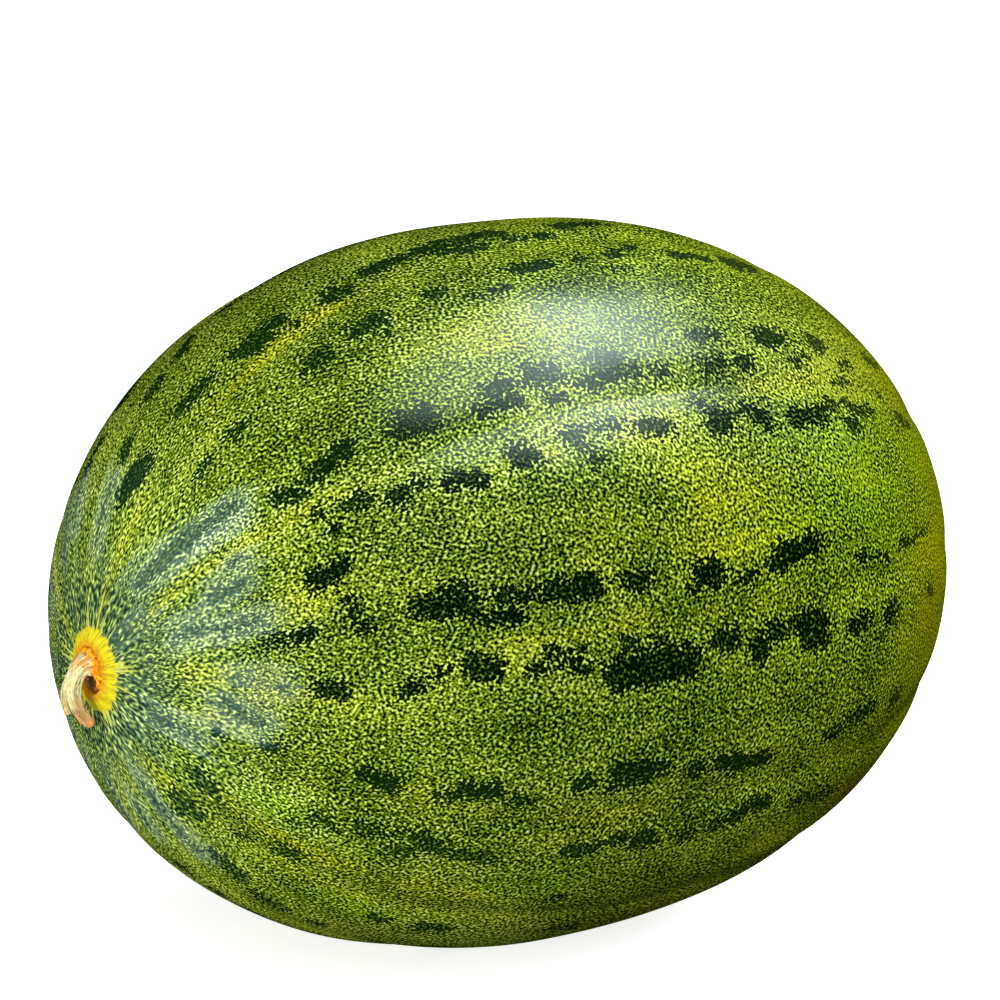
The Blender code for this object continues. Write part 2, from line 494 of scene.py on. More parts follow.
@dataclass(frozen=True)
class FruitForm:
    """The grown form of the fruit, by the same formula as its solid, in metres."""

    length: float = 0.2285
    width: float = 0.176
    height: float = 0.1707
    fullness: float = 2.3
    egg: float = 0.0073
    stem_drop: float = 0.0032
    stem_drop_start: float = 0.2
    twist: float = math.radians(3.7)
    round_pole_radius: float = 0.03
    rest_cut: float = 0.0008
    suture_degrees: tuple[float, ...] = (30, 65, 100.5, 137, 170.5, 201, 227, 254, 288, 324, 359)
    suture_depth: float = 0.0009
    suture_spread: float = math.radians(2.8)
    collar_radius: float = 0.0094
    collar_rise: float = 0.0012
    socket_radius: float = 0.0054
    socket_depth: float = 0.002
    scar_radius: float = 0.0045
    scar_rim: float = 0.0003
    scar_rim_place: float = 0.75  # share of the scar's radius
    scar_rim_width: float = 0.28  # share of the rim's radius
    scar_dimple: float = 0.0004
    arc_steps: int = 4001
    least_girth: float = 4.0  # millimetres, so that marks near the poles stay where they are

    @property
    def middle(self) -> float:
        """Height of the long axis above the ground."""
        return self.height / 2 - self.rest_cut

    def stem_point(self, out: float, side: float, up: float) -> Vector:
        """Place of a point measured outwards, sideways and up from the stem end.

        Args:
            out: Distance from the fruit, along its axis.
            side: Distance towards +Y.
            up: Height above the axis there.

        Returns:
            The point in the frame.
        """
        return Vector((-self.length / 2 - out, side, self.middle - self.stem_drop + up))

    def arc_of(self, station: np.ndarray) -> np.ndarray:
        """Distance along the rind from the stem end, in millimetres.

        Args:
            station: Places along the axis, from -1 at the stem end to 1.

        Returns:
            The distance of each.
        """
        x = -np.cos(np.linspace(0.0, math.pi, self.arc_steps))
        radius = self.body_radius(x) * (1.0 + self.egg * x)
        steps = np.hypot(np.diff(radius), np.diff(x) * self.length / 2)
        table = np.concatenate(([0.0], np.cumsum(steps))) * MM
        return np.interp(station, x, table)

    def body_radius(self, station: np.ndarray) -> np.ndarray:
        """Half the body's width at each station, without its egg shape."""
        return self.width / 2 * np.sqrt(np.maximum(0.0, 1.0 - np.abs(station) ** self.fullness))

    def girth_of(self, station: np.ndarray) -> np.ndarray:
        """That half width in millimetres, but never too small to measure along."""
        return np.maximum(self.body_radius(station) * MM, self.least_girth)


@dataclass(frozen=True)
class RindGrid:
    """How finely the rind is divided, and its small unevenness."""

    around: int = 400
    along: int = 236
    cap_turn: float = 0.115  # angle of the finely divided cap at each pole
    stem_share: float = 0.15  # share of the rows that lie in the stem end's cap
    blossom_share: float = 0.05
    pleat_height: float = 0.0003
    pleat_cells: Span = (3.0, 11.0)  # along and round
    pleat_start: float = 0.022
    pleat_fade: Span = (0.075, 0.03)
    swell_height: float = 0.0004
    swell_cells: Span = (3.2, 2.2)
    collar_wave: float = 0.35
    cork_share: float = 0.8
    cork_height: float = 0.0004
    socket_bevel: float = 0.0004
    scar_cork_height: float = 0.0002
    weld: float = 0.000001
    base_angle: float = math.radians(200)


# Marks seen on the rind: millimetres from the stem end and off the suture's line at one
# end, the same at the other end, and half the mark's width.
Mark = tuple[float, float, float, float, float]

BLOTCHES: dict[float, tuple[Mark, ...]] = {
    100.5: (
        (39, -9, 49, -8, 3.5), (60, -9, 71, -9, 1.9), (77, -9, 92, -9, 2.6), (80, -6, 88, -6, 1.6),
        (91, -3, 93, -3, 1), (101, -6, 107, -5, 2.5), (103, -9, 104, -9, 1.2), (113, -9, 126, -9, 2.4),
        (128, -9.5, 153, -10, 3), (133, -4.5, 143, -4.5, 1.9), (150, -5, 153, -5, 1.3),
        (156, -5, 163, -5, 1.8), (167, -10, 183, -12, 2.5), (51, 10.2, 56, 10, 0.8),
        (62, 10, 66, 11, 1.5), (84, 11.5, 91, 11.5, 2.3), (97, 10.5, 105, 11, 2.5),
        (116.5, 10.5, 121, 11, 1.8), (139, 11.5, 151, 11.5, 2.2), (157, 11, 160, 10.5, 2),
        (167, 10, 171, 10, 1.8), (171, 8, 178, 5.5, 1.5), (186, 12, 190, 10, 2.3),
        (190, 11, 197, 12, 1.5), (202, 12, 213, 10, 3.5), (103, 17, 103, 17, 0.8),
        (124, 17.5, 134, 17.5, 0.8), (163, 17, 168, 17, 0.8),
    ),
    137: (
        (62, -4.8, 69, -4.2, 1.5), (72, -6, 81, -8.5, 2), (91, -8.5, 100.5, -7, 3), (112, -9, 119, -9, 2),
        (108, -5.5, 119, -5, 1.6), (122, -10, 130, -9.5, 2.7), (125, -2.5, 129, -3.5, 1),
        (134, -5, 149, -7, 1.6), (139, -10.5, 146, -9.8, 2.2), (153, -5, 157, -5, 1.5),
        (166, -7, 168, -6.5, 0.8), (168, -5, 174, -6, 1.6), (178, -6, 182, -5, 2.4),
        (168, -13.5, 176, -14, 1.6), (187, -12.5, 197, -12, 2.6), (196, -5.5, 196.5, -5, 1.3),
        (201, -6.5, 202, -6.3, 1.2), (198.5, -2.5, 198.5, -2.5, 0.7), (199, -12, 200, -12, 0.8),
        (206, -11, 211, -11, 2.4), (214, -5.5, 219, -6.5, 1.1), (207, 0, 215, -0.5, 0.7),
        (231, -9, 240, -10, 1.8), (227, 1.5, 228, 1.5, 0.6), (67.5, 2.8, 71, 2.8, 1),
        (75, 4, 80, 4.8, 1.6), (71, 7, 72, 7, 1), (85, 5.5, 86.5, 9, 1.8), (89, 5.5, 92.5, 6.5, 1.1),
        (96, 8, 103.5, 10.5, 2), (113.5, 6, 113.5, 10.5, 2.8), (124, 6.8, 130, 6, 1.6),
        (134, 6, 138, 6, 1.6), (127, 12, 130, 13, 1.6), (141.5, 7, 150, 9, 1.9), (158.5, 4, 161, 3.5, 1),
        (160.5, 9, 167, 8.5, 3.4), (170, 6.5, 175, 7, 1.2), (175, 9, 178, 11, 2.4),
        (179.5, 4.5, 180, 4.5, 0.7), (185, 10, 197, 9.5, 2.2), (196, 8.5, 202, 6.5, 1.7),
        (204, 12, 209, 12, 2), (208, 8, 218, 7, 1.5), (206, 5.5, 208, 6, 0.9), (227, 10, 228, 10, 1),
        (232, 7, 240, 8, 1.3), (62, 15.5, 71, 16, 2.0),
    ),
    170.5: (
        (50, -5.5, 61, -7, 0.9), (71, -7, 74, -6, 0.8), (83, -9.5, 95, -10, 2.5),
        (88, -12.5, 94, -12.5, 1.5), (94, -6.5, 104, -5, 1.6), (100, -10, 108, -9.5, 1.6),
        (110, -10, 122, -9.5, 2.5), (129, -9.5, 135, -9, 2.0), (145, -9, 153, -7.5, 3),
        (145, -6, 146, -6, 1.2), (157, -6, 164, -7, 1.4), (167, -8.5, 172, -8, 1.8),
        (169, -9.5, 183, -11.5, 2.6), (195, -6, 199, -6, 0.7), (203, -5, 209, -4.5, 1.2),
        (214, -6.5, 222, -7, 1.5), (222, -8, 233, -8, 1), (70, -14, 70, -8, 0.9), (60, 5, 66, 6.5, 1.6),
        (78, 8.5, 82, 6.5, 1.8), (84, 5.5, 87, 5.5, 1), (92, 4.5, 99, 6, 2.6), (105, 6, 108, 7.5, 1.2),
        (110.5, 3, 111, 7, 1.4), (115, 8, 118, 8, 0.8), (116, 3.5, 116.5, 3.5, 1),
        (127, 4.5, 130, 4.5, 1.4), (123, 10.5, 145, 10, 3.8), (134, 5.5, 137, 6, 1.5),
        (150, 6, 156, 7, 2.4), (162, 8, 162, 13, 2.2), (165, 6, 170, 7.5, 2.3), (172, 6.5, 184, 7, 2.3),
        (175, 10.5, 183, 11, 2), (191, 10, 200, 9, 1.6), (206, 9, 211, 8, 2.4), (229, 6.5, 233, 7.5, 1.8),
    ),
    201: (
        (38, -6, 38.5, -6, 0.8), (49, -6.5, 53, -8, 1), (71, -7, 79, -5, 2), (87, -4, 92, -4, 0.9),
        (92, -5.5, 101, -6.5, 2.3), (105, -3.5, 110, -4, 1.2), (117, -9, 121, -8.5, 2),
        (124, -8, 127, -7, 1), (126, -11, 136, -10.5, 3), (137, -12, 140, -10, 1.5),
        (146, -9.5, 150, -10, 2), (154, -10, 159, -9, 2), (158, -8, 170, -8, 1.8),
        (187, -9.5, 193, -10, 1.4), (193, -12, 205, -12.5, 1.6), (214, -10, 219, -10, 2.6),
        (34, 7.5, 42, 10.5, 2), (60, 10, 61, 10, 0.8), (63, 6.5, 66, 8, 1.4), (66, 8.5, 70, 8.5, 1.2),
        (73, 8, 78, 7.5, 2.2), (80, 13, 86, 12.5, 1.8), (81, 8, 83, 7, 1), (85, 7, 88, 9, 2),
        (89, 10, 93, 11.5, 1.8), (94, 12, 104, 12.5, 1.5), (98, 6, 98.5, 6, 0.8),
        (120, 11, 129, 10.5, 1.8), (131, 8, 135, 8, 1.6), (137, 8, 143, 11, 2.6),
        (149, 9.5, 154, 11.5, 2), (150, 6, 152, 6, 0.8), (158, 9, 162, 9.5, 2), (163, 8, 168, 7.5, 2.2),
        (168, 6, 175, 6.5, 2.3), (184, 9, 190, 9.5, 2), (190, 11, 201, 12, 1.8),
    ),
    227: (
        (59, -4.5, 65, -4.5, 2.2), (49, 0, 54, -2, 0.9), (34, 2, 42, 1.5, 2), (36, 4.5, 39, 4.5, 1.3),
        (34, 10, 37, 10, 1.5), (88, 8, 92, 9, 1.2), (99, 9, 107, 9, 2), (124, -10, 128, -9.5, 1.4),
        (134, 8, 142, 10, 2), (66, 22, 74, 22, 1.8),
    ),
}

# Streaks near the stem end, in the same measures; their bluish grey is partly wax bloom and partly
# painted sheen.
STREAKS: dict[float, tuple[Mark, ...]] = {
    100.5: ((27, 9.5, 34, 13, 1),),
    137: (
        (25, -6.5, 56, -9.0, 2.3), (28, 9, 38, 11, 1.2), (40, 6, 48, 8, 1.2), (48, 2.5, 50, 3, 1),
        (10, 0, 25, 0, 1.2), (40, 7, 50, 8, 1.4),
    ),
    170.5: (
        (32, -9.5, 40, -9.5, 1.2), (40, -8, 51, -11, 1.5), (40, 1, 55, 5.5, 1.3), (37.5, 6.5, 50, 13, 2.2),
        (30, -8, 38, -10, 1.3),
    ),
    201: ((20, -1, 35, -2, 1.4),),
}

# Where the rind is made paler, yellower, greener or rustier: millimetres from the stem end,
# degrees round the fruit, half length and half width in millimetres, and strength. The paler
# patches under the top highlight are painted sheen, and the rusty ones on the lower side are
# partly painted shade.
Patch = tuple[float, float, float, float, float]
# The first two patches, under the top highlight, are painted sheen; the others make the rind paler.
PALE_AND_SHEEN: tuple[Patch, ...] = (
    (128, 110, 60, 24, 0.4), (134, 139, 60, 15, 0.9), (22, 216, 12, 12, 0.8), (60, 206, 22, 7, 0.7),
    (55, 132, 14, 6, 0.7), (158, 200, 14, 6, 0.7),
)
SUNNY: tuple[Patch, ...] = (
    (190, 139, 30, 5, 0.6), (140, 157, 80, 12, 0.3), (60, 152, 16, 7, 0.3), (48, 178, 18, 5, 0.5),
    (70, 196, 22, 6, 0.6), (156, 171, 36, 4, 0.38), (110, 203, 36, 5, 0.4), (60, 220, 26, 3.5, 0.7),
    (30, 231, 12, 4, 0.6), (94, 221, 16, 5, 0.6), (90, 99, 24, 3, 0.6), (40, 216, 10, 3, 0.5),
)
LEAFY: tuple[Patch, ...] = (
    (205, 152, 42, 24, 0.8), (120, 215, 16, 9, 0.4), (60, 225, 14, 7, 0.5), (88, 158, 10, 5, 0.4),
    (30, 215, 12, 6, 0.5), (54, 210, 9, 4, 0.6), (80, 233, 12, 5, 0.7), (116, 217, 14, 5, 0.7),
)
# Browner, darker patches; those on the lower side, from 195 to 245 degrees, are partly painted shade.
RUSTY_AND_SHADE: tuple[Patch, ...] = (
    (150, 232, 34, 7, 0.8), (215, 214, 22, 10, 0.7), (95, 243, 22, 5, 0.6), (232, 180, 16, 16, 0.5),
    (96, 225, 16, 3, 0.5), (164, 195, 24, 3, 0.6), (112, 98, 30, 2.5, 0.5),
)


@dataclass(frozen=True)
class HiddenRows:
    """The rule for blotches and streaks on the side that isn't seen, two rows to a suture."""

    degrees: tuple[float, ...] = (254, 288, 324, 359, 30, 65)  # the sutures on that side
    offsets: tuple[float, ...] = (-9.5, 9.5)
    seed: int = 7
    start: Span = (34.0, 58.0)  # this and what follows in millimetres, as least and greatest
    end: Span = (196.0, 238.0)
    length: Span = (1.0, 14.0)
    half_width: Span = (1.0, 3.0)
    gap: Span = (3.0, 11.0)
    wander: float = 2.2
    streak_start: Span = (24.0, 34.0)
    streak_end: Span = (38.0, 50.0)
    streak_aside: Span = (0.4, 0.9)
    streak_slant: Span = (0.8, 1.2)
    streak_half_width: Span = (1.0, 1.8)

    def marks(self) -> dict[float, list[Mark]]:
        """Draws the rows.

        Returns:
            The marks of each suture.
        """
        draw = np.random.default_rng(self.seed)
        rows: dict[float, list[Mark]] = {}
        for degrees in self.degrees:
            for offset in self.offsets:
                along = draw.uniform(*self.start)
                end = draw.uniform(*self.end)
                while along < end:
                    length = draw.uniform(*self.length)
                    here, there = offset + draw.uniform(-self.wander, self.wander, 2)
                    mark = (along, here, along + length, there, draw.uniform(*self.half_width))
                    rows.setdefault(degrees, []).append(mark)
                    along += length + draw.uniform(*self.gap)
        return rows

    def streaks(self) -> dict[float, list[Mark]]:
        """Draws the streaks near the stem end, one beside each row; their bluish grey is partly painted
        sheen.

        Returns:
            The streaks of each suture.
        """
        draw = np.random.default_rng(self.seed + 1)
        rows: dict[float, list[Mark]] = {}
        for degrees in self.degrees:
            for offset in self.offsets:
                start, end = draw.uniform(*self.streak_start), draw.uniform(*self.streak_end)
                aside = offset * draw.uniform(*self.streak_aside)
                here, there = (aside * slant for slant in self.streak_slant)
                mark = (start, here, end, there, draw.uniform(*self.streak_half_width))
                rows.setdefault(degrees, []).append(mark)
        return rows


@dataclass(frozen=True)
class RindTerms:
    """What the rind's colours are worked out from."""

    graph: Graph
    arc: Term  # millimetres from the stem end
    cos_part: Term  # of the angle round the fruit
    sin_part: Term
    groove: Term  # millimetres to the nearest suture
    speckle: Term
    broad: Term
    patchy: Term
    ragged: Term
    bands: Term
    rays: Term
    edge: Term  # millimetres by which the marks' edges wander
    grain: Term


@dataclass(frozen=True)
class RindFinish:
    """Waxy rind: light specks on a dark ground, blotches, streaks, corky collar and scar.

    Each row of stops goes from the pits between the specks to the middles of the specks. Lengths
    are in millimetres. A span along the rind says where a share of something starts and where it
    is whole.
    """

    name: str = "speckled_rind"
    body: Stops = (
        (0.12, (0.0003, 0.0035, 0.0002)), (0.25, (0.0060, 0.0220, 0.0003)), (0.37, (0.0320, 0.0700, 0.0010)),
        (0.50, (0.1080, 0.1730, 0.0028)), (0.66, (0.2550, 0.3600, 0.0200)), (0.79, (0.4300, 0.5600, 0.0750)),
        (0.94, (0.6500, 0.7900, 0.1900)),
    )
    stem_end: Stops = (
        (0.10, (0.0200, 0.0520, 0.0300)), (0.24, (0.0480, 0.0950, 0.0500)), (0.36, (0.0950, 0.1600, 0.0720)),
        (0.50, (0.1700, 0.2500, 0.0900)), (0.64, (0.2800, 0.3900, 0.1200)), (0.76, (0.4300, 0.5600, 0.1800)),
        (0.90, (0.6600, 0.8000, 0.3200)),
    )
    blossom_end: Stops = (
        (0.06, (0.0280, 0.0440, 0.0002)), (0.25, (0.0850, 0.1100, 0.0002)), (0.50, (0.1750, 0.2000, 0.0005)),
        (0.75, (0.2800, 0.3200, 0.0015)), (0.94, (0.4200, 0.4900, 0.0080)),
    )
    blotch: Colour = (0.0008, 0.0060, 0.0008)
    blotch_soft: Colour = (0.014, 0.050, 0.006)
    blotch_tint: Colour = (0.86, 0.92, 2.2)
    blotch_strength: float = 0.3
    blotch_pits: float = 0.27  # how far blotches and streaks shrink the specks
    streak_pits: float = 0.11
    streak_strength: float = 0.66
    # the bluish grey near the stem end, in streaks and waxy patches, is partly wax bloom and partly painted
    # sheen
    waxy_sheen_strength: float = 0.35
    bloom_and_sheen: Colour = (0.100, 0.155, 0.125)
    bloom_and_sheen_deep: Colour = (0.025, 0.062, 0.047)
    sunny: Colour = (1.14, 0.96, 0.32)
    leafy: Colour = (0.79, 0.99, 0.14)
    # browner tint, partly painted shade on the lower side
    rusty_and_shade: Colour = (0.80, 0.62, 0.55)
    ripe: Colour = (0.98, 1.0, 0.35)
    # paler tint, partly painted sheen: it whitens the specks under the top highlight
    pale: Colour = (1.26, 1.24, 2.0)
    frill: Colour = (0.50, 0.56, 0.09)
    collar: Colour = (0.64, 0.56, 0.004)
    collar_deep: Colour = (0.60, 0.29, 0.004)
    collar_shade: Colour = (0.30, 0.24, 0.002)
    scar: Colour = (0.42, 0.28, 0.12)
    bands: tuple[tuple[float, ...], ...] = (  # girth, stretch, where each fades in and where out
        (15.0, 2.2, -2.0, -1.0, 15.0, 26.0), (39.0, 1.4, 15.0, 26.0, 38.0, 50.0),
        (66.0, 1.0, 38.0, 50.0, 66.0, 84.0), (82.0, 1.0, 66.0, 84.0, 244.0, 264.0),
        (48.0, 1.0, 244.0, 264.0, 288.0, 302.0), (18.0, 1.0, 288.0, 302.0, 330.0, 340.0),
    )
    cell: float = 0.69
    broad_cell: float = 16.0
    patchy_cell: float = 3.6
    ragged_cell: float = 1.5
    grain_cell: float = 0.45
    band_length: float = 55.0  # of one cell along the fruit
    band_cells: float = 5.0  # round it, in one radian
    ray_length: float = 30.0
    ray_cells: float = 16.0
    patchy_edge: float = 4.2  # how far each noise moves the edges of marks
    ragged_edge: float = 3.4
    speckle_edge: float = 3.6
    near_stem: Span = (80.0, 42.0)
    round_stem: Span = (66.0, 36.0)
    by_collar: Span = (34.0, 18.0)
    pits_by_collar: Span = (34.0, 14.0)
    ripening: Span = (110.0, 190.0)
    blossom: Span = (190.0, 252.0)
    collar_wander: float = 3.4
    collar_edge: Span = (9.9, 9.0)
    collar_core: Span = (8.0, 5.9)
    frill_edge: Span = (9.0, 10.4)
    spikes_from: float = 10.0
    spikes_end: Span = (24.0, 20.0)
    rind_length: float = 322.9  # from pole to pole
    scar_edge: Span = (5.6, 4.2)
    spread: float = 0.395
    roughness: float = 0.22
    corky_roughness: float = 0.7
    refraction: float = 1.45
    bump_strength: float = 0.5
    bump_depth: float = 0.00005  # metres

    def speckle(self, graph: Graph, ring: tuple[Term, Term], arc: Term) -> Term:
        """The fine labyrinth of specks, drawn out along the fruit near the stem end.

        The rind is covered in bands, each read as if it were a drum of one girth, that fade into
        each other. They meet round the far side, where their edges are lost among the specks.

        Args:
            graph: The material's graph.
            ring: Cosine and sine of the angle round the fruit.
            arc: Millimetres from the stem end.

        Returns:
            Noise round 0 whose high parts are specks.
        """
        cos_part, sin_part = ring
        angle = (sin_part * -1.0).math("ARCTAN2", cos_part * -1.0)
        total: Value = 0.0
        weight: Value = 0.0
        for girth, stretch, rise_from, rise_to, fall_from, fall_to in self.bands:
            along, around = arc / (self.cell * stretch), angle * (girth / self.cell)
            turned = graph.vector(along * 0.87 + around * 0.5, around * 0.87 - along * 0.5, 0.0)
            share = arc.rise(rise_from, rise_to) * arc.rise(fall_to, fall_from)
            total = graph.noise(turned, swirl=0.3, flat=True) * share + total
            weight = share ** 2.0 + weight
        return total / weight ** 0.5

    def read(self, graph: Graph) -> RindTerms:
        """Reads the rind's attributes and makes the noises that its markings share.

        Args:
            graph: The material's graph.

        Returns:
            Everything that the colours are worked out from.
        """
        in_mm = graph.scaled(graph.position(), MM)
        arc = graph.attribute(Attribute.ARC)
        cos_part, sin_part, _ = graph.parts(graph.attribute(Attribute.RING, "Vector"))
        speckle = self.speckle(graph, (cos_part, sin_part), arc)
        patchy = graph.noise(in_mm, 1 / self.patchy_cell, detail=1.0)
        ragged = graph.noise(in_mm, 1 / self.ragged_cell)
        bands = (cos_part * self.band_cells, sin_part * self.band_cells)
        rays = (cos_part * self.ray_cells, sin_part * self.ray_cells)
        return RindTerms(
            graph=graph,
            arc=arc,
            cos_part=cos_part,
            sin_part=sin_part,
            groove=graph.attribute(Attribute.GROOVE),
            speckle=speckle,
            broad=graph.noise(in_mm, 1 / self.broad_cell, detail=2.0),
            patchy=patchy,
            ragged=ragged,
            bands=graph.noise(graph.vector(arc / self.band_length, *bands), detail=1.0),
            rays=graph.noise(graph.vector(arc / self.ray_length, *rays), detail=1.0),
            edge=patchy * self.patchy_edge + ragged * self.ragged_edge - speckle * self.speckle_edge + 0.5,
            grain=graph.noise(in_mm, 1 / self.grain_cell, detail=1.0),
        )

    def tints(self, at: RindTerms) -> list[tuple[Term, Colour]]:
        """Where the rind is riper, paler, yellower, greener or rustier; the paler tint is partly
        painted sheen, and the rusty tint is partly painted shade on the lower side.

        Args:
            at: The rind's terms.

        Returns:
            The share and the colour of each tint, in the order in which they are laid on.
        """
        sunny, leafy, rusty_and_shade = at.graph.parts(at.graph.attribute(Attribute.TONE, "Vector"))
        line = (at.groove + at.rays * 3.0 + at.patchy * 2.0).rise(3.4, 0.4)
        sunny = sunny + line * 0.3 + at.bands * 1.6 + at.broad * 1.2 + at.rays * 0.8
        return [
            ((at.arc + at.broad * 60.0).rise(*self.ripening), self.ripe),
            # paler tint, partly painted sheen under the top highlight
            (at.graph.attribute(Attribute.PALE_AND_SHEEN) * ((at.bands + at.broad) * 1.2 + 0.9), self.pale),
            (sunny.rise(0.0, 1.0), self.sunny),
            ((leafy + at.broad * 1.8 + at.patchy * 0.4).rise(0.2, 1.1), self.leafy),
            # browner tint, partly painted shade where it lies on the lower side
            ((rusty_and_shade + at.broad * 0.9).rise(0.3, 1.0), self.rusty_and_shade),
        ]

    def rind(self, at: RindTerms) -> Term:
        """Colour of the rind with its specks, tints, blotches and streaks; near the stem end its bluish
        grey is partly wax bloom and partly painted sheen.

        Args:
            at: The rind's terms.

        Returns:
            The colour.
        """
        graph = at.graph
        marked = graph.attribute(Attribute.STREAK)
        faded = 0.96 - at.sin_part.rise(-0.2, -0.6) * 0.3
        blotch = (graph.attribute(Attribute.BLOTCH) + at.edge).rise(-0.9, 0.8)
        blotch = blotch * (at.broad * 1.6 + at.rays * 0.6 + faded)
        streak = (marked + at.edge + at.rays * 3.0 - 0.6).rise(-1.0, 1.3)
        near_stem = at.arc.rise(*self.near_stem)
        lobe = (marked + at.rays * 12.0 + at.broad * 6.0).rise(-5.5, 0.0) * near_stem
        lobe = lobe.most(at.arc.rise(*self.by_collar) * 0.55).most(at.arc.rise(*self.round_stem) * 0.11)
        tints = self.tints(at)
        pale_and_sheen_share, sunny_share = tints[1][0], tints[2][0]

        cover = at.speckle + at.bands * 0.22 + at.broad * 0.24 + at.patchy * 0.13 + at.rays * 0.12 - 0.02
        # the paler patches, partly painted sheen, also brighten the specks
        cover = cover + sunny_share * 0.03 + near_stem * 0.03 + pale_and_sheen_share * 0.04
        cover = cover - blotch * self.blotch_pits - streak * self.streak_pits
        cover = cover - at.arc.rise(*self.pits_by_collar) * 0.12
        share = cover.rise(-self.spread, self.spread, False)
        colour = graph.mix(lobe, graph.ramp(share, self.body), graph.ramp(share, self.stem_end))
        at_blossom = (at.arc + at.broad * 70.0).rise(*self.blossom)
        colour = graph.mix(at_blossom, colour, graph.ramp(share, self.blossom_end))
        for tint_share, tint in tints:
            colour = graph.tinted(tint_share, colour, tint)

        off_middle = (at.sin_part - 0.3).math("ABSOLUTE").rise(0.2, 0.7)
        colour = graph.tinted(blotch, colour, self.blotch_tint)
        dark = graph.mix(off_middle, self.blotch, self.blotch_soft)
        colour = graph.mix(blotch * self.blotch_strength, colour, dark)
        # bluish grey streaks and waxy patches near the stem end: wax bloom with painted sheen
        inside = (marked + at.rays * 4.0 + at.patchy * 2.0).rise(1.4, -0.4)
        bloom_and_sheen = graph.mix(inside, self.bloom_and_sheen_deep, self.bloom_and_sheen)
        waxy_sheen = (at.rays + at.broad * 0.6).rise(0.10, 0.28) * lobe * self.waxy_sheen_strength
        return graph.mix(waxy_sheen.most(streak * self.streak_strength), colour, bloom_and_sheen)

    def corky_collar(self, at: RindTerms) -> tuple[Term, Term]:
        """The yellow collar round the stalk, with its frill of spikes.

        Args:
            at: The rind's terms.

        Returns:
            Where it is, as a share, and its colour.
        """
        graph, cos_part, sin_part = at.graph, at.cos_part, at.sin_part
        wave = graph.noise(graph.vector(cos_part * 7.0, sin_part * 7.0, 0.0), detail=3.0)
        radius = at.arc + wave * self.collar_wander
        spikes = graph.noise(graph.vector(cos_part * 13.0, sin_part * 13.0, at.arc / 40.0))
        spikes = (spikes - (at.arc - self.spikes_from).most(0.0) * 0.022).rise(0.08, 0.15)
        share = radius.rise(*self.collar_edge).most(spikes * at.arc.rise(*self.spikes_end))
        colour = graph.mix(radius.rise(*self.collar_core), self.collar, self.collar_deep)
        colour = graph.mix(radius.rise(*self.frill_edge), colour, self.frill)
        lines = graph.noise(graph.vector(cos_part * 26.0, sin_part * 26.0, at.arc / 5.0), detail=1.0)
        shade = (lines + at.ragged * 0.4).rise(0.0, -0.22) * 0.8
        return share, graph.mix(shade, colour, self.collar_shade)

    def material(self) -> bpy.types.Material:
        """Builds the finish.

        Returns:
            The material.
        """
        made, graph, shader = new_material(self.name)
        at = self.read(graph)
        collar, collar_colour = self.corky_collar(at)
        colour = graph.mix(collar, self.rind(at), collar_colour)
        from_blossom = at.arc * -1.0 + self.rind_length
        scar = (from_blossom + at.broad * 4.0).rise(*self.scar_edge)
        rough = at.speckle.rise(-0.1, 0.1) * 0.05 + self.roughness
        graph.feed(shader.inputs["Base Color"], graph.mix(scar, colour, self.scar))
        graph.feed(shader.inputs["Roughness"], rough.most(collar.most(scar) * self.corky_roughness))
        shader.inputs["IOR"].default_value = self.refraction
        height = at.speckle.rise(-0.15, 0.15) * 0.6 + at.grain * 0.25 + at.edge * collar
        height = height - at.groove.rise(2.6, 0.0) * 4.0
        relief = {"Strength": self.bump_strength, "Distance": self.bump_depth, "Height": height}
        graph.feed(shader.inputs["Normal"], graph.new("ShaderNodeBump", relief))
        return made


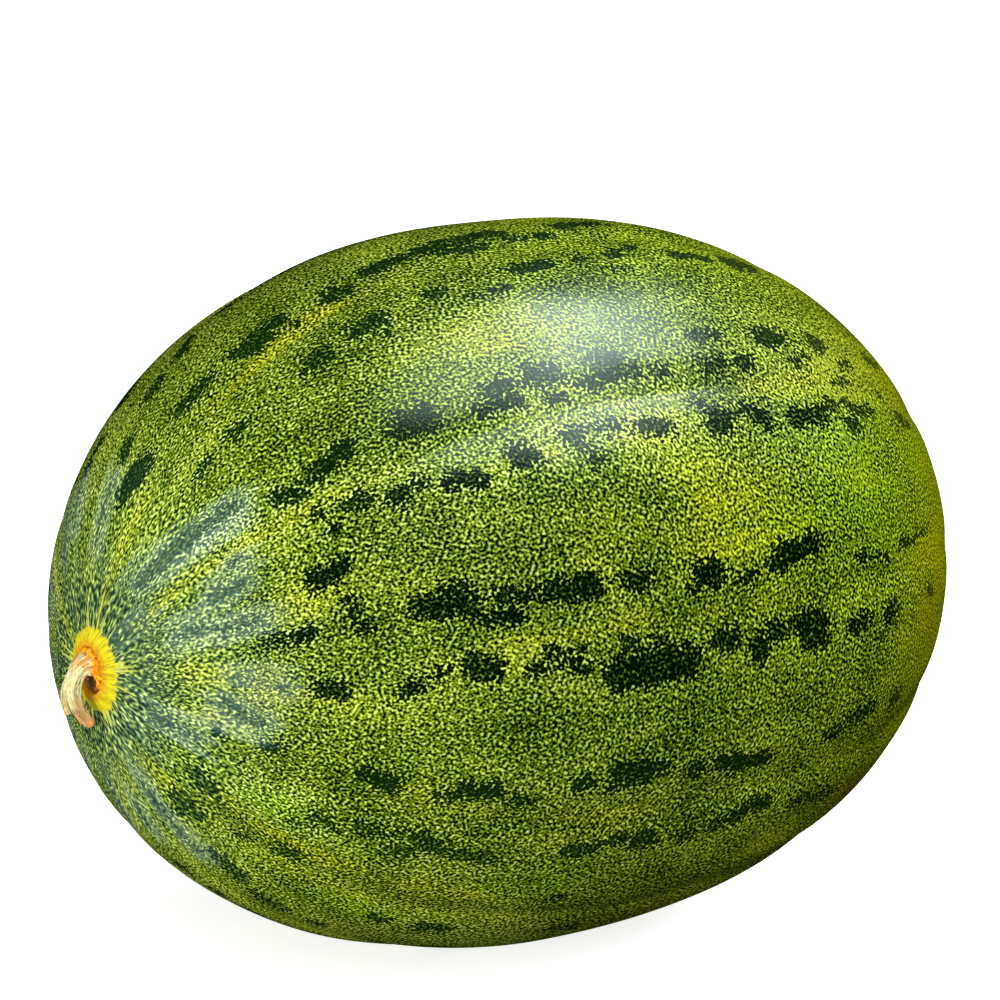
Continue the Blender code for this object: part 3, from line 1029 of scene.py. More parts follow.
@dataclass
class Fruit:
    """The grown fruit: body with its sutures, corky collar, socket and blossom scar."""

    form: FruitForm = field(default_factory=FruitForm)
    grid: RindGrid = field(default_factory=RindGrid)
    hidden: HiddenRows = field(default_factory=HiddenRows)
    finish: RindFinish = field(default_factory=RindFinish)
    mark_inset: float = 0.72  # how far a mark's line is cut short at each end, in half widths
    most_inset: float = 0.45  # and at most, as a share of the line
    shortest: float = 0.1  # millimetres, so that a mark may be a dot
    far: float = -12.0  # millimetres, the depth away from every mark
    tint_edge: Span = (-1.6, -0.4)  # where a tint starts and where it is whole, in half lengths

    def recipe(self, material: bpy.types.Material) -> Recipe:
        """The geometry tree that shapes a grid into the fruit.

        Args:
            material: The rind's material.

        Returns:
            The tree with its inputs.
        """
        form, grid = self.form, self.grid
        tree = Recipe("grown_fruit")
        tree.take("Base", None, "Geometry")
        around, along = tree.take_sizes(grid, "around", "along", kind="Int")
        length, width, height, fullness, egg, drop, twist = tree.take_sizes(
            form, "length", "width", "height", "fullness", "egg", "stem_drop", "twist")
        depth, spread, pole, rest, collar = tree.take_sizes(
            form, "suture_depth", "suture_spread", "round_pole_radius", "rest_cut", "collar_radius")
        pleats, swell = tree.take_sizes(grid, "pleat_height", "swell_height")
        material_in = tree.take("Material", material, "Material")

        sheet = tree.add("GeometryNodeMeshGrid", {"Vertices X": around + 1.0, "Vertices Y": along + 1.0})
        share_round, share_along, _ = tree.parts(tree.term(sheet, "UV Map"))
        angle = share_round * TURN + grid.base_angle
        x = self.stations(share_along)
        radius = (1.0 - x.math("ABSOLUTE") ** fullness).most(0.0) ** 0.5
        radius = radius * width * 0.5 * (x * egg + 1.0)
        share_out = radius.rise(0.0, pole)
        cos_part, sin_part = angle.math("COSINE"), angle.math("SINE")

        (pleat_along, pleat_round), (swell_along, swell_round) = grid.pleat_cells, grid.swell_cells
        folds = tree.vector(x * pleat_along, cos_part * pleat_round, sin_part * pleat_round)
        lumps = tree.vector(x * swell_along, cos_part * swell_round, sin_part * swell_round)
        fold_share = radius.rise(collar, grid.pleat_start) * radius.rise(*grid.pleat_fade) * x.rise(0.1, -0.1)
        slim = 1.0 - share_out * self.furrows(angle, spread) * depth / (width * 0.5)
        wide = radius * slim + tree.noise(folds, detail=1.0) * pleats * fold_share * 2.0
        wide = wide + tree.noise(lumps, detail=1.0) * swell * share_out * 2.0
        place_angle = angle + (x + 1.0) * twist * 0.5
        flat = 1.0 - (1.0 - height / width) * share_out
        start = form.stem_drop_start
        hang = ((x * -1.0 - start) / (1.0 - start)).most(0.0) ** 2.0 * drop

        up = wide * flat * place_angle.math("SINE") - hang + height * 0.5 - rest
        reach = self.reach(tree, x, radius, (cos_part, sin_part), (length, collar))
        point = tree.vector(reach, wide * place_angle.math("COSINE"), up.most(0.0))
        inputs = {"Geometry": tree.term(sheet, "Mesh"), "Position": point}
        mesh = tree.new("GeometryNodeSetPosition", inputs)
        mesh = tree.store(mesh, Attribute.RING, tree.vector(cos_part, sin_part, 0.0), vector=True)
        mesh = tree.store(mesh, Attribute.STATION, x)
        welded = tree.new("GeometryNodeMergeByDistance", {"Geometry": mesh, "Distance": grid.weld})
        tree.end(welded, material_in)
        return tree

    def stations(self, share: Term) -> Term:
        """Spaces the grid's rows from pole to pole, close together at the poles.

        Args:
            share: How far along the grid a row is, from 0 to 1.

        Returns:
            Its place along the axis, from -1 at the stem end to 1.
        """
        cap, first, last = self.grid.cap_turn, self.grid.stem_share, 1.0 - self.grid.blossom_share
        turn = share.rise(0.0, first, False) * cap
        turn = turn + share.rise(first, last, False) * (math.pi - 2.0 * cap)
        turn = turn + share.rise(last, 1.0, False) * cap
        return turn.math("COSINE") * -1.0

    def reach(self, tree: Recipe, x: Term, radius: Term, ring: tuple[Term, Term],
              sizes: tuple[Term, Term]) -> Term:
        """Where each point lies along the axis, with the collar, the socket and the scar.

        Args:
            tree: The geometry tree.
            x: Place along the axis, from -1 to 1.
            radius: Distance from the axis.
            ring: Cosine and sine of the angle round the fruit.
            sizes: The fruit's length and the collar's radius.

        Returns:
            The distance from the fruit's middle.
        """
        form, grid = self.form, self.grid
        length, collar_radius = sizes
        cos_part, sin_part = ring
        collar_rise, socket_radius, socket_depth = tree.take_sizes(
            form, "collar_rise", "socket_radius", "socket_depth")
        wave = tree.noise(tree.vector(cos_part * 5.0, sin_part * 5.0, 0.0), detail=2.0)
        cork = tree.noise(tree.vector(cos_part * 9.0, sin_part * 9.0, radius * 900.0), detail=2.0)
        outer = collar_radius * (wave * grid.collar_wave + 1.0)
        share = ((radius - socket_radius) / (outer - socket_radius)).most(0.0).least(1.0)
        at_stem = x.rise(0.0, -0.2)
        collar = collar_rise * (1.0 - share * share) * (cork * grid.cork_share + 1.0) * at_stem
        socket = radius.rise(socket_radius, socket_radius - grid.socket_bevel) * at_stem
        floor = length * -0.5 + socket_depth + cork * grid.cork_height
        reach = (x * length * 0.5 - collar) * (1.0 - socket) + floor * socket

        rim = form.scar_radius * form.scar_rim_place
        bell = ((radius - rim) / (rim * form.scar_rim_width)) ** 2.0
        scar = (bell * -1.0).math("EXPONENT") * form.scar_rim
        scar = scar - radius.rise(rim * 0.6, 0.0) * form.scar_dimple
        scar = scar + cork * radius.rise(rim * 1.6, rim) * grid.scar_cork_height
        return reach + scar * x.rise(0.0, 0.2)

    def furrows(self, angle: Term, spread: Term) -> Term:
        """How far the sutures draw the surface in, as a share of their depth.

        Args:
            angle: The angle round the fruit.
            spread: The half width of one suture, as an angle.

        Returns:
            The sum over all the sutures.
        """
        total: Value = 0.0
        for degrees in self.form.suture_degrees:
            off = (angle - math.radians(degrees)).math("WRAP", math.pi, -math.pi)
            total = ((off / spread) ** 2.0 * -0.5).math("EXPONENT") + total
        return total

    def offsets(self, ring: np.ndarray, girth: np.ndarray, degrees: float) -> np.ndarray:
        """Millimetres off an angle round the fruit.

        Args:
            ring: Directions round the fruit, as cosine and sine.
            girth: Radius of the body at each, in millimetres.
            degrees: The angle that they are measured from.

        Returns:
            The offset of each, positive towards larger angles.
        """
        turn = np.arctan2(ring[:, 1], ring[:, 0]) - math.radians(degrees)
        return ((turn + math.pi) % TURN - math.pi) * girth

    def field_of(self, marks: dict[float, Sequence[Mark]], arc: np.ndarray, ring: np.ndarray,
                 girth: np.ndarray) -> np.ndarray:
        """How deep each point lies within the nearest mark, in millimetres.

        Args:
            marks: The marks of each suture.
            arc: Millimetres from the stem end.
            ring: Directions round the fruit.
            girth: Radius of the body at each point.

        Returns:
            The depth, which is below 0 outside every mark.
        """
        depth = np.full(len(arc), self.far)
        for degrees, rows in marks.items():
            off = self.offsets(ring, girth, degrees)
            for along, aside, along_end, aside_end, half in rows:
                run = np.array((along_end - along, aside_end - aside))
                long = max(math.hypot(*run), self.shortest)
                inset = min(self.most_inset, half * self.mark_inset / long)
                share = ((arc - along) * run[0] + (off - aside) * run[1]) / long ** 2
                share = np.clip(share, inset, 1.0 - inset)
                away = np.hypot(arc - along - share * run[0], off - aside - share * run[1])
                depth = np.maximum(depth, half - away)
        return depth

    def tones(self, patches: Sequence[Patch], arc: np.ndarray, ring: np.ndarray,
              girth: np.ndarray) -> np.ndarray:
        """How strongly a tint shows at each point.

        Args:
            patches: The places that have it.
            arc: Millimetres from the stem end.
            ring: Directions round the fruit.
            girth: Radius of the body at each point.

        Returns:
            The tint, from 0 to 1.
        """
        tint = np.zeros(len(arc))
        for along, degrees, long_half, wide_half, strength in patches:
            off = self.offsets(ring, girth, degrees)
            away = np.hypot((arc - along) / long_half, off / wide_half)
            tint = np.maximum(tint, strength * smooth_step(-away, *self.tint_edge))
        return tint

    def mark(self, mesh: bpy.types.Mesh) -> None:
        """Lays the markings on the rind's mesh.

        Args:
            mesh: The mesh that gets them.
        """
        station = read_values(mesh, Attribute.STATION)
        ring = read_values(mesh, Attribute.RING, 3)
        arc, girth = self.form.arc_of(station), self.form.girth_of(station)
        away = [np.abs(self.offsets(ring, girth, degrees)) for degrees in self.form.suture_degrees]
        blotches = {**BLOTCHES, **self.hidden.marks()}
        streaks = {**STREAKS, **self.hidden.streaks()}
        tints = [self.tones(patches, arc, ring, girth) for patches in (SUNNY, LEAFY, RUSTY_AND_SHADE)]
        keep_values(mesh, Attribute.ARC, arc)
        keep_values(mesh, Attribute.GROOVE, np.min(away, axis=0))
        keep_values(mesh, Attribute.BLOTCH, self.field_of(blotches, arc, ring, girth))
        keep_values(mesh, Attribute.STREAK, self.field_of(streaks, arc, ring, girth))
        keep_values(mesh, Attribute.TONE, np.column_stack(tints))
        keep_values(mesh, Attribute.PALE_AND_SHEEN, self.tones(PALE_AND_SHEEN, arc, ring, girth))

    def build(self) -> bpy.types.Object:
        """Makes and dresses the fruit.

        Returns:
            The piece.
        """
        tree = self.recipe(self.finish.material())
        mesh = tree.mesh("rind", bpy.data.meshes.new("fruit_base"))
        self.mark(mesh)
        piece = new_piece("rind", mesh)
        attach(piece, BODY)
        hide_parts("fruit")
        return piece


# Points of the stalk's path, outwards, sideways and up from the stem end, and its strips: degrees
# round the stalk from its outer side towards +Y, share of the path, half thickness, and how far the
# tip splays.
PathPoint = tuple[float, float, float]
Strip = tuple[float, float, float, float]
STALK_ROUTE: tuple[PathPoint, ...] = (
    (-0.0003, 0.0, 0.0002), (0.0012, 0.0001, 0.0006), (0.0027, 0.0002, 0.0003),
    (0.0040, 0.0003, -0.0012), (0.0046, 0.0003, -0.0036), (0.0041, 0.0001, -0.0064),
    (0.0029, -0.0003, -0.0091), (0.0018, -0.0007, -0.0112),
)
STRIPS: tuple[Strip, ...] = (
    (-92, 1.0, 0.0008, 0.0), (-52, 1.0, 0.0009, 0.0), (-12, 0.94, 0.0009, 0.0003), (28, 0.8, 0.0009, 0.0019),
    (70, 0.66, 0.0008, 0.0008),
)


class StalkPart(Enum):
    """What a point of the stalk belongs to."""

    STRIP = 0.0
    ROOT = 1.0
    KNOB = 2.0
    CRUMB = 3.0

    def reached(self, part: Term) -> Term:
        """1 where a point belongs to this part or a later one, and 0 elsewhere."""
        return part.rise(self.value - 0.6, self.value - 0.4, False)


@dataclass(frozen=True)
class StalkFinish:
    """Dry fibre from cream to tan, with an orange torn root whose hollow and low side carry painted shade."""

    name: str = "dried_stalk"
    cream: Colour = (0.78, 0.72, 0.36)
    pale_green: Colour = (0.55, 0.60, 0.25)
    tan: Colour = (0.78, 0.46, 0.15)
    burnt: Colour = (0.72, 0.27, 0.07)
    crack: Colour = (0.10, 0.035, 0.004)
    orange: Colour = (0.95, 0.30, 0.004)
    yellow: Colour = (0.92, 0.52, 0.008)
    # painted shade for the root cup's hollow and its low side under the strips
    hollow: Colour = (0.15, 0.075, 0.012)
    roughness: float = 0.62
    glow_share: float = 0.15  # how much light passes under the surface
    glow_radius: Colour = (1.0, 0.6, 0.3)
    glow_scale: float = 0.0006
    bump_strength: float = 0.6
    bump_depth: float = 0.00012

    def torn(self, graph: Graph, wander: Term, fine: Term) -> Term:
        """Colour of torn tissue.

        Args:
            graph: The material's graph.
            wander: Broad noise.
            fine: Fine noise.

        Returns:
            The colour.
        """
        colour = graph.mix((wander + fine * 0.5).rise(-0.02, 0.14), self.orange, self.yellow)
        return graph.mix((fine - wander * 0.3).rise(0.0, -0.2) * 0.75, colour, self.crack)

    def fibre(self, graph: Graph, wander: Term, fine: Term, lanes: Term, along: Term) -> Term:
        """Colour of the strips, from tan through cream to a burnt tip.

        Args:
            graph: The material's graph.
            wander: Broad noise.
            fine: Fine noise.
            lanes: Noise drawn out along the strips.
            along: Share of the stalk's length.

        Returns:
            The colour.
        """
        colour = graph.mix((along + wander * 1.1 + lanes * 0.6).rise(0.16, 0.46), self.tan, self.cream)
        green = (lanes + wander).rise(0.0, 0.25) * along.rise(0.2, 0.5) * 0.6
        colour = graph.mix(green, colour, self.pale_green)
        colour = graph.mix((along + wander * 0.5).rise(0.60, 0.92) * 0.75, colour, self.burnt)
        browned = along.rise(0.5, 0.2) * 0.08
        return graph.mix((lanes + fine * 0.4 - browned).rise(-0.05, -0.20) * 0.8, colour, self.crack)

    def root(self, graph: Graph, wander: Term, fine: Term, off_pole: tuple[Term, Term], torn: Term) -> Term:
        """Colour of the root cup, with painted shade in its hollow and on its low side under the hanging
        strips.

        Args:
            graph: The material's graph.
            wander: Broad noise.
            fine: Fine noise.
            off_pole: Millimetres sideways and up from the stem end.
            torn: Colour of the torn tissue.

        Returns:
            The colour.
        """
        across, above = off_pole
        out = (across ** 2.0 + (above + 0.4) ** 2.0) ** 0.5
        # painted shade: the cup's middle and its low side, under the arching strips, turn dark brown
        deep = (out + fine * 1.6).rise(3.3, 2.3).most((above + fine * 2.0).rise(-1.6, -2.8))
        hollow = graph.mix((fine + wander).rise(0.0, 0.25) * 0.5, self.hollow, self.burnt)
        return graph.mix(deep, torn, hollow)

    def material(self, form: FruitForm) -> bpy.types.Material:
        """Builds the finish.

        Args:
            form: The fruit, whose stem end says where the hollow is.

        Returns:
            The material.
        """
        made, graph, shader = new_material(self.name)
        place = graph.position()
        along, around, part = map(graph.attribute, (Attribute.ALONG, Attribute.AROUND, Attribute.PART))
        lane_x, lane_y, lane_z = graph.parts(graph.attribute(Attribute.RING, "Vector"))
        in_mm = graph.scaled(place, MM)
        wander = graph.noise(in_mm, 1 / 2.2, detail=1.0)
        fine = graph.noise(in_mm, 1 / 0.6, detail=2.0)
        lanes = graph.noise(graph.vector(along * 7.0, lane_x * 2.6 + lane_z * 3.0, lane_y * 2.6), detail=2.0)

        torn = self.torn(graph, wander, fine)
        near_root = (along + wander * 0.3).rise(0.26, 0.10) * around.rise(-0.15, -0.5)
        fibre = graph.mix(near_root, self.fibre(graph, wander, fine, lanes, along), torn)
        _, y, z = graph.parts(place)
        pole = form.stem_point(0.0, 0.0, 0.0)
        off_pole = ((y - pole.y) * MM, (z - pole.z) * MM)
        root = self.root(graph, wander, fine, off_pole, torn)
        colour = graph.mix(StalkPart.ROOT.reached(part), fibre, root)
        knob = graph.mix(fine.rise(-0.1, 0.2), self.burnt, self.tan)
        colour = graph.mix(StalkPart.KNOB.reached(part), colour, knob)
        colour = graph.mix(StalkPart.CRUMB.reached(part), colour, torn)

        graph.feed(shader.inputs["Base Color"], colour)
        shader.inputs["Roughness"].default_value = self.roughness
        shader.inputs["Subsurface Weight"].default_value = self.glow_share
        shader.inputs["Subsurface Radius"].default_value = self.glow_radius
        shader.inputs["Subsurface Scale"].default_value = self.glow_scale
        relief = {"Strength": self.bump_strength, "Distance": self.bump_depth, "Height": lanes * 2.0 + fine}
        graph.feed(shader.inputs["Normal"], graph.new("ShaderNodeBump", relief))
        return made


@dataclass
class StalkStub:
    """The dried stalk: torn root cup, strips that arch over and hang, loose fibres and a knob."""

    form: FruitForm = field(default_factory=FruitForm)
    finish: StalkFinish = field(default_factory=StalkFinish)
    kept: tuple[Attribute, ...] = (Attribute.PART, Attribute.ALONG, Attribute.AROUND, Attribute.HALF)
    route: tuple[PathPoint, ...] = STALK_ROUTE
    strips: tuple[Strip, ...] = STRIPS
    steps: int = 44
    look_ahead: float = 0.01  # share of the route over which its direction is read
    sleeve_radii: tuple[float, float, float] = (0.0034, 0.0014, 0.0007)
    narrows_by: float = 0.42
    widening: tuple[float, float] = (1.5, 0.85)
    root_radius: float = 0.0049
    root_flare: float = 0.0013
    root_floor: float = 0.0002
    root_torn_share: float = 0.25
    high_side: float = -0.6  # the way in which the root stands highest, sideways and up
    high_up: float = 0.8
    root_steps: int = 72
    gap: float = 0.0003
    knob_radius: float = 0.00135
    knob_shape: tuple[float, float, float] = (0.9, 1.2, 0.95)
    fibres_to_a_strip: int = 11
    fibre_half: float = 0.00016
    ridge_height: float = 0.00022
    crumb_height: float = 0.00035
    crumb_size: float = 0.00055
    crumb_growth: Span = (0.5, 1.5)
    crumbs_per_square_metre: float = 1300000.0
    strip_sides: int = 16
    fibre_sides: int = 6
    strip_numbers: float = 900.0  # sets the strips' draws apart
    fibre_out: Span = (0.70, 1.10)  # in half thicknesses of the strip
    fibre_width: Span = (0.6, 1.3)
    seed: int = 5

    def route_at(self, share: float) -> Vector:
        """A point on the stalk's middle line.

        Args:
            share: How far along the stalk it is, from 0 to 1.

        Returns:
            The point, measured outwards, sideways and up from the stem end.
        """
        last = len(self.route) - 1
        along = min(share, 0.99999) * last
        step = int(along)
        part = along - step
        p0, p1, p2, p3 = (Vector(self.route[min(max(step + i, 0), last)]) for i in (-1, 0, 1, 2))
        curve = (2.0 * p0 - 5.0 * p1 + 4.0 * p2 - p3) * part ** 2 + (3.0 * (p1 - p2) + p3 - p0) * part ** 3
        return 0.5 * (2.0 * p1 + (p2 - p0) * part + curve)

    def sleeve_radius(self, share: float) -> float:
        """How far the strips lie from the middle line."""
        root, middle, tip = self.sleeve_radii
        if share < self.narrows_by:
            return root + (middle - root) * float(smooth_step(share, 0.0, self.narrows_by))
        return middle + (tip - middle) * (share - self.narrows_by) / (1.0 - self.narrows_by)

    def strip_points(self, strip: Strip) -> list[tuple[Vector, float, float]]:
        """One strip's middle line.

        Args:
            strip: Its angle, length, half thickness and splay.

        Returns:
            Each point with its share of the stalk's length and its half thickness.
        """
        degrees, length, half, splay = strip
        sideways = Vector((0.0, 1.0, 0.0))
        turn = math.radians(degrees)
        points = []
        for step in range(self.steps):
            done = step / (self.steps - 1)
            share = length * done
            before = self.route_at(max(0.0, share - self.look_ahead))
            ahead = (self.route_at(share + self.look_ahead) - before).normalized()
            outwards = ahead.cross(sideways).normalized()
            away = math.cos(turn) * outwards + math.sin(turn) * sideways
            radius = self.sleeve_radius(share) + splay * float(smooth_step(2.0 * done - 1.0, 0.0, 1.0))
            wide, narrow = self.widening
            size = 1.0 + (wide - 1.0) * float(smooth_step(1.0 - 2.0 * done, 0.0, 1.0)) + (narrow - 1.0) * done
            point = self.form.stem_point(*(self.route_at(share) + radius * away))
            points.append((point, share, half * size))
        return points

    def root_rings(self) -> list[tuple[float, float]]:
        """The root cup's outline from the middle of its hollow to the middle of its foot.

        Returns:
            Radius and distance outwards at each corner.
        """
        radius, flare, floor = self.root_radius, self.root_flare, self.root_floor
        depth = self.form.socket_depth - self.gap
        corners = (
            (0.0, floor), (0.3, floor), (0.55, floor), (0.66, 0.45 * flare), (0.8, flare),
            (0.87, 1.05 * flare), (0.93, flare), (0.98, 0.75 * flare), (1.0, 0.4 * flare),
            (0.98, -0.5 * depth), (0.96, -depth), (0.0, -depth),
        )
        return [(share * radius, out) for share, out in corners]

    def add_root(self, work: bmesh.types.BMesh, part: object) -> None:
        """Adds the torn cup that the strips grow from.

        Args:
            work: The mesh that gets it.
            part: The layer that says what a point belongs to.
        """
        rings = []
        for radius, out in self.root_rings():
            count = self.root_steps if radius > 0.0 else 1
            ring = []
            for step in range(count):
                turn = TURN * step / count
                side, up = radius * math.cos(turn), radius * math.sin(turn)
                height = (self.high_up * up + self.high_side * side) / (2.0 * self.root_radius)
                lift = float(smooth_step(0.5 + height, 0.0, 1.0))
                raised = out * (self.root_torn_share + (1.0 - self.root_torn_share) * lift)
                reach = raised if out > self.root_floor else out
                vertex = work.verts.new(self.form.stem_point(reach, side, up))
                vertex[part] = StalkPart.ROOT.value
                ring.append(vertex)
            rings.append(ring)
        for inner, outer in zip(rings[:-1], rings[1:]):
            for step in range(self.root_steps):
                corners = [inner[step % len(inner)], inner[(step + 1) % len(inner)],
                           outer[(step + 1) % len(outer)], outer[step % len(outer)]]
                work.faces.new(list(dict.fromkeys(corners)))
        bmesh.ops.recalc_face_normals(work, faces=work.faces)
        bmesh.ops.subdivide_edges(work, edges=work.edges[:], cuts=1, use_grid_fill=True)

    def base(self) -> bpy.types.Mesh:
        """The strips' middle lines, the root cup and the knob as one mesh.

        Returns:
            The mesh that the geometry tree starts from.
        """
        work = bmesh.new()
        part, along, around, half = (work.verts.layers.float.new(kind.value) for kind in self.kept)
        self.add_root(work, part)
        tip = Matrix.Translation(self.form.stem_point(*self.route[-1]))
        at = tip @ Matrix.Diagonal((*self.knob_shape, 1.0))
        knob = bmesh.ops.create_icosphere(work, subdivisions=4, radius=self.knob_radius, matrix=at)
        for vertex in knob["verts"]:
            vertex[part] = StalkPart.KNOB.value
        for strip in self.strips:
            before = None
            for point, share, size in self.strip_points(strip):
                vertex = work.verts.new(point)
                vertex[along], vertex[around], vertex[half] = share, strip[0] / 90.0, size
                if before:
                    work.edges.new((before, vertex))
                before = vertex
        mesh = bpy.data.meshes.new("stalk_base")
        work.to_mesh(mesh)
        work.free()
        return mesh

    def recipe(self, material: bpy.types.Material) -> Recipe:
        """The geometry tree that gives the lines their flesh, fibres and roughness.

        Args:
            material: The stalk's material.

        Returns:
            The tree with its inputs.
        """
        tree = Recipe("dried_stalk")
        base = tree.take("Base", None, "Geometry")
        count, seed = tree.take_sizes(self, "fibres_to_a_strip", "seed", kind="Int")
        thin, ridge, lump, crumb_size, density = tree.take_sizes(
            self, "fibre_half", "ridge_height", "crumb_height", "crumb_size", "crumbs_per_square_metre")
        material_in = tree.take("Material", material, "Material")

        part, along, around, half = map(tree.kept, self.kept)
        inputs = {"Geometry": base, "Selection": 0.5 - part}
        split = tree.add("GeometryNodeSeparateGeometry", inputs, domain="POINT")
        lines = tree.new("GeometryNodeMeshToCurve", {"Mesh": tree.term(split, "Selection")})
        solids = tree.term(split, "Inverted")
        strips = self.tube(tree, lines, half, self.strip_sides)
        fibres = self.fibres(tree, lines, (count, thin, seed), (along, around, half))
        crumbs = self.crumbs(tree, solids, (density, crumb_size, seed), part)
        joined = tree.join(strips, fibres, solids, crumbs)

        lane_x, lane_y, lane_z = tree.parts(tree.kept(Attribute.RING, "FLOAT_VECTOR"))
        lanes = tree.noise(tree.vector(along * 9.0, lane_x * 1.7 + lane_z * 3.0, lane_y * 1.7), detail=1.0)
        lumps = tree.noise(tree.new("GeometryNodeInputPosition"), 900.0, detail=2.0)
        is_solid = StalkPart.ROOT.reached(part)
        height = lanes * ridge * 2.0 * (1.0 - is_solid) + lumps * lump * 2.0 * is_solid
        offset = tree.scaled(tree.new("GeometryNodeInputNormal"), height)
        moved = tree.new("GeometryNodeSetPosition", {"Geometry": joined, "Offset": offset})
        tree.end(moved, material_in)
        return tree

    def tube(self, tree: Recipe, lines: Term, half: Term, sides: int) -> Term:
        """Gives lines a round body that knows its way round.

        Args:
            tree: The geometry tree.
            lines: The lines.
            half: Half the body's thickness.
            sides: How many sides the body has.

        Returns:
            The body.
        """
        profile = tree.new("GeometryNodeCurvePrimitiveCircle", {"Resolution": sides, "Radius": 1.0})
        turn = tree.new("GeometryNodeSplineParameter", output="Factor") * TURN
        ring = tree.vector(turn.math("COSINE"), turn.math("SINE"), 0.0)
        marked = tree.store(profile, Attribute.RING, ring, vector=True)
        inputs = {"Curve": lines, "Profile Curve": marked, "Scale": half, "Fill Caps": True}
        return tree.new("GeometryNodeCurveToMesh", inputs)

    def fibres(self, tree: Recipe, lines: Term, sizes: tuple[Term, Term, Term],
               kept: tuple[Term, ...]) -> Term:
        """Lays loose fibres in and on each strip.

        Args:
            tree: The geometry tree.
            lines: The strips' middle lines.
            sizes: The number to a strip, half their width, and the seed.
            kept: Share along, angle round and half thickness of the strips.

        Returns:
            The fibres' bodies.
        """
        count, thin, seed = sizes
        along, around, half = kept
        inputs = {"Geometry": lines, "Amount": count}
        copies = tree.add("GeometryNodeDuplicateElements", inputs, domain="SPLINE")
        number = tree.term(copies, "Duplicate Index") + around * self.strip_numbers
        turn = tree.random(0.0, TURN, number, seed)
        out = tree.random(*self.fibre_out, number, seed + 1.0)
        width = tree.random(*self.fibre_width, number, seed + 2.0)
        drift = tree.noise(tree.vector(along * 2.5, number * 0.37, 0.0)) * 3.0
        side = tree.vector(0.0, 1.0, 0.0)
        inputs = {0: tree.new("GeometryNodeInputTangent"), 1: side}
        outwards = tree.new("ShaderNodeVectorMath", inputs, operation="CROSS_PRODUCT")
        angle = turn + drift
        away = tree.sum_of(tree.scaled(outwards, angle.math("COSINE")), tree.scaled(side, angle.math("SINE")))
        inputs = {"Geometry": tree.term(copies, "Geometry"), "Offset": tree.scaled(away, half * out)}
        moved = tree.new("GeometryNodeSetPosition", inputs)
        return self.tube(tree, moved, thin * width, self.fibre_sides)

    def crumbs(self, tree: Recipe, solids: Term, sizes: tuple[Term, Term, Term], part: Term) -> Term:
        """Scatters small lumps of torn tissue over the high side of the root cup.

        Args:
            tree: The geometry tree.
            solids: The root cup and the knob.
            sizes: How closely the lumps lie, their size and the seed.
            part: What a point belongs to.

        Returns:
            The lumps as real geometry.
        """
        density, size, seed = sizes
        _, y, z = tree.parts(tree.new("GeometryNodeInputPosition"))
        normal_x, _, _ = tree.parts(tree.new("GeometryNodeInputNormal"))
        pole = self.form.stem_point(0.0, 0.0, 0.0)
        across, above = y - pole.y, z - pole.z
        out = (across ** 2.0 + above ** 2.0) ** 0.5
        high = (above * self.high_up + across * self.high_side).rise(-0.0002, 0.0022)
        on_root = 1.0 - StalkPart.KNOB.reached(part)
        chosen = high * out.rise(0.0012, 0.0024) * normal_x.rise(-0.1, -0.4) * on_root
        inputs = {"Mesh": solids, "Density": density * chosen, "Seed": seed}
        spots = tree.add("GeometryNodeDistributePointsOnFaces", inputs)
        ball = tree.new("GeometryNodeMeshIcoSphere", {"Radius": size, "Subdivisions": 3})
        share = tree.random(*self.crumb_growth, tree.new("GeometryNodeInputIndex"), seed + 3.0)
        scale = tree.vector(share, share, share)
        inputs = {"Points": tree.term(spots, "Points"), "Instance": ball, "Scale": scale}
        placed = tree.new("GeometryNodeInstanceOnPoints", inputs)
        real = tree.new("GeometryNodeRealizeInstances", {"Geometry": placed})
        return tree.store(real, Attribute.PART, StalkPart.CRUMB.value)

    def build(self) -> bpy.types.Object:
        """Makes and dresses the stalk.

        Returns:
            The piece.
        """
        tree = self.recipe(self.finish.material(self.form))
        piece = new_piece("dried_stalk", tree.mesh("dried_stalk", self.base()))
        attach(piece, BODY)
        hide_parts("stalk_stub")
        return piece


@dataclass(frozen=True)
class FloorFinish:
    """Plain pale floor."""

    name: str = "pale_floor"
    colour: Colour = (0.86, 0.86, 0.86)
    roughness: float = 0.9
    glow: float = 0.75  # so that the plain floor is white in the picture

    def material(self) -> bpy.types.Material:
        """Builds the finish.

        Returns:
            The material.
        """
        made, _, shader = new_material(self.name)
        shader.inputs["Base Color"].default_value = (*self.colour, 1.0)
        shader.inputs["Roughness"].default_value = self.roughness
        shader.inputs["Specular IOR Level"].default_value = 0.0
        shader.inputs["Emission Color"].default_value = (*WHITE, 1.0)
        shader.inputs["Emission Strength"].default_value = self.glow
        return made


def hang(data: bpy.types.Light, away: Vector, place: Vector) -> bpy.types.Object:
    """Puts a light in the scene.

    Args:
        data: The light.
        away: The way from what it faces to the light.
        place: Where it hangs.

    Returns:
        The light's object.
    """
    lamp = bpy.data.objects.new(data.name, data)
    lamp.location = place
    lamp.rotation_euler = away.to_track_quat("Z", "Y").to_euler()
    bpy.context.scene.collection.objects.link(lamp)
    return lamp


@dataclass(frozen=True)
class SoftBox:
    """A square or long soft light that faces the fruit."""

    name: str
    azimuth: float  # degrees from +X towards +Y
    elevation: float
    distance: float
    width: float
    height: float
    radiance: float
    mirrored: bool = True
    lights: bool = True
    tint: Colour = WHITE

    def build(self, target: Vector) -> bpy.types.Object:
        """Hangs the light.

        Args:
            target: What it faces.

        Returns:
            The light.
        """
        data = bpy.data.lights.new(self.name, "AREA")
        data.shape = "RECTANGLE"
        data.size = self.width
        data.size_y = self.height
        data.energy = self.radiance * math.pi * self.width * self.height
        data.color = self.tint
        away = direction(self.azimuth, self.elevation)
        lamp = hang(data, away, target + away * self.distance)
        lamp.visible_glossy = self.mirrored
        lamp.visible_diffuse = self.lights
        lamp.visible_camera = False
        return lamp


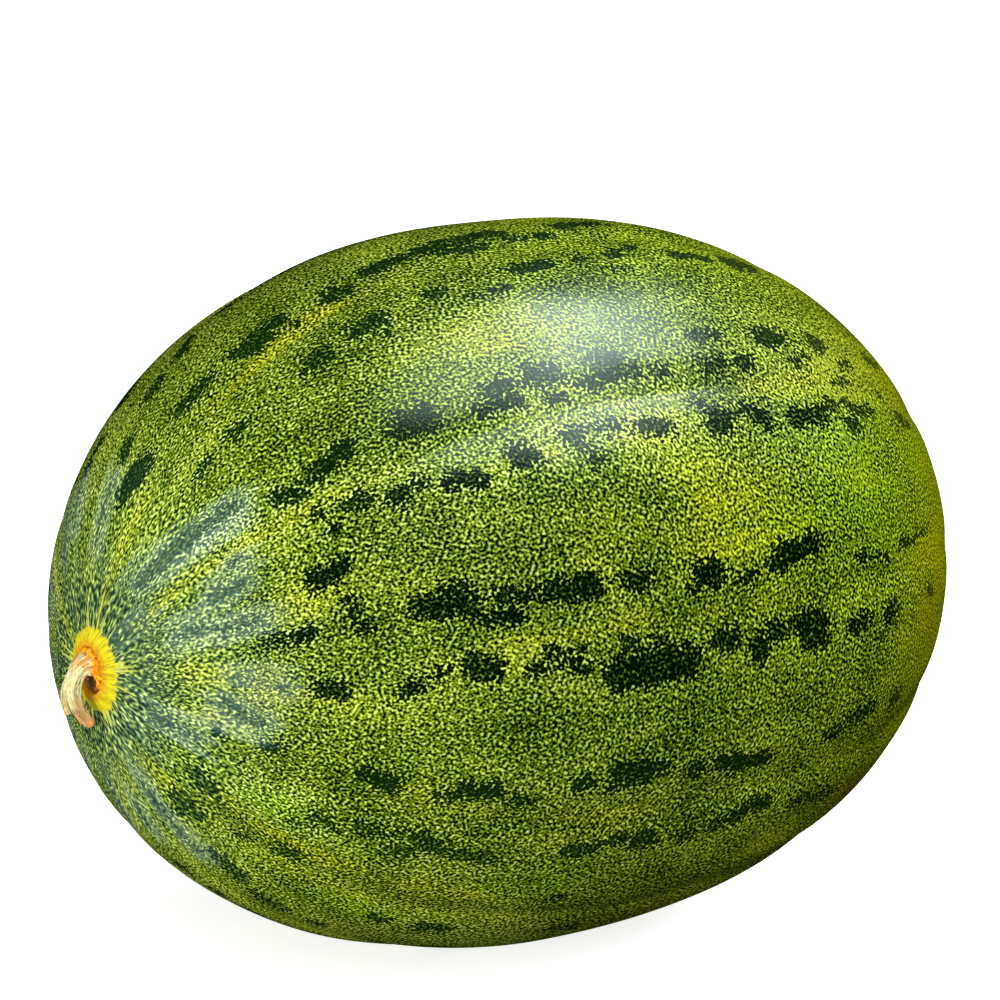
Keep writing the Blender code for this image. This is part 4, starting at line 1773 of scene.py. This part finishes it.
@dataclass(frozen=True)
class SoftSun:
    """A wide light from one side of the sky, even over the whole floor."""

    azimuth: float
    elevation: float
    irradiance: float
    spread: float

    def build(self) -> bpy.types.Object:
        """Hangs the light.

        Returns:
            The light.
        """
        data = bpy.data.lights.new("main", "SUN")
        data.energy = self.irradiance
        data.angle = math.radians(self.spread)
        lamp = hang(data, direction(self.azimuth, self.elevation), Vector())
        lamp.visible_glossy = False
        return lamp


@dataclass
class Studio:
    """Floor, soft light and the camera at the photo's angle."""

    form: FruitForm = field(default_factory=FruitForm)
    azimuth: float = -37.64  # degrees that the picture's right is turned from +X
    elevation: float = 14.23
    distance: float = 0.704
    lens: float = 105.5
    sensor: float = 36.0
    near_clip: float = 0.01
    aim_right: float = -0.00223  # of the fruit's middle, as the photo is framed
    aim_up: float = 0.01848
    floor_size: float = 16.0
    world: Colour = WHITE
    world_strength: float = 0.18
    sun: SoftSun = SoftSun(-118.0, 28.0, 2.05, 60.0)
    boxes: tuple[SoftBox, ...] = (
        SoftBox("window", -4.0, 62.0, 0.9, 0.46, 0.31, 8.0, lights=False, tint=COOL),
        SoftBox("lower_window", -60.0, 56.0, 0.9, 0.38, 0.26, 4.4, lights=False, tint=COOL),
        SoftBox("wash", -70.0, 79.0, 0.9, 0.62, 0.44, 3.6, lights=False, tint=COOL),
        SoftBox("side", 165.0, 2.0, 0.9, 0.6, 0.6, 0.4, lights=False, tint=COOL),
        SoftBox("right", -8.0, 36.0, 1.4, 1.2, 0.9, 8.0, mirrored=False),
        SoftBox("left", -178.0, -6.0, 1.4, 1.2, 0.9, 5.8, mirrored=False),
        SoftBox("above", -130.0, 64.0, 1.4, 0.9, 0.9, 1.1, mirrored=False),
    )

    def camera(self) -> bpy.types.Object:
        """Places the camera.

        Returns:
            The camera.
        """
        back = direction(self.azimuth - 90.0, self.elevation)
        right = direction(self.azimuth, 0.0)
        up = back.cross(right)
        middle = Vector((0.0, 0.0, self.form.middle))
        data = bpy.data.cameras.new("camera")
        data.lens = self.lens
        data.sensor_width = self.sensor
        data.clip_start = self.near_clip
        camera = bpy.data.objects.new("camera", data)
        camera.location = middle + back * self.distance
        look = middle + right * self.aim_right + up * self.aim_up - camera.location
        camera.rotation_euler = look.to_track_quat("-Z", "Y").to_euler()
        bpy.context.scene.collection.objects.link(camera)
        bpy.context.scene.camera = camera
        return camera

    def floor(self) -> bpy.types.Object:
        """Lays the floor.

        Returns:
            The floor.
        """
        mesh = bpy.data.meshes.new("floor")
        work = bmesh.new()
        bmesh.ops.create_grid(work, x_segments=1, y_segments=1, size=self.floor_size / 2)
        work.to_mesh(mesh)
        work.free()
        mesh.materials.append(FloorFinish().material())
        floor = new_piece("floor", mesh)
        floor.visible_glossy = False
        floor.visible_diffuse = False
        floor.visible_shadow = False
        return floor

    def surroundings(self) -> None:
        """Sets the even light from all sides and the plain view of the colours."""
        world = bpy.data.worlds.new("surroundings")
        world.use_nodes = True
        graph = Graph(world.node_tree)
        seen = graph.new("ShaderNodeLightPath", output="Is Camera Ray")
        background = world.node_tree.nodes["Background"]
        background.inputs["Color"].default_value = (*self.world, 1.0)
        graph.feed(background.inputs["Strength"], seen.most(self.world_strength))
        world.cycles_visibility.glossy = False
        bpy.context.scene.world = world
        bpy.context.scene.view_settings.view_transform = "Standard"

    def build(self) -> None:
        """Sets up the whole studio."""
        self.camera()
        self.floor()
        self.surroundings()
        self.sun.build()
        for box in self.boxes:
            box.build(Vector((0.0, 0.0, self.form.middle)))


def main() -> None:
    """Builds the fruit, its stalk and the studio in order."""
    logging.basicConfig(level=logging.INFO, format="%(message)s")
    form = FruitForm()
    for maker in (Fruit(form), StalkStub(form)):
        piece = maker.build()
        LOG.info("%s: %d faces", piece.name, len(piece.data.polygons))
    Studio(form).build()


if __name__ == "__main__":
    main()
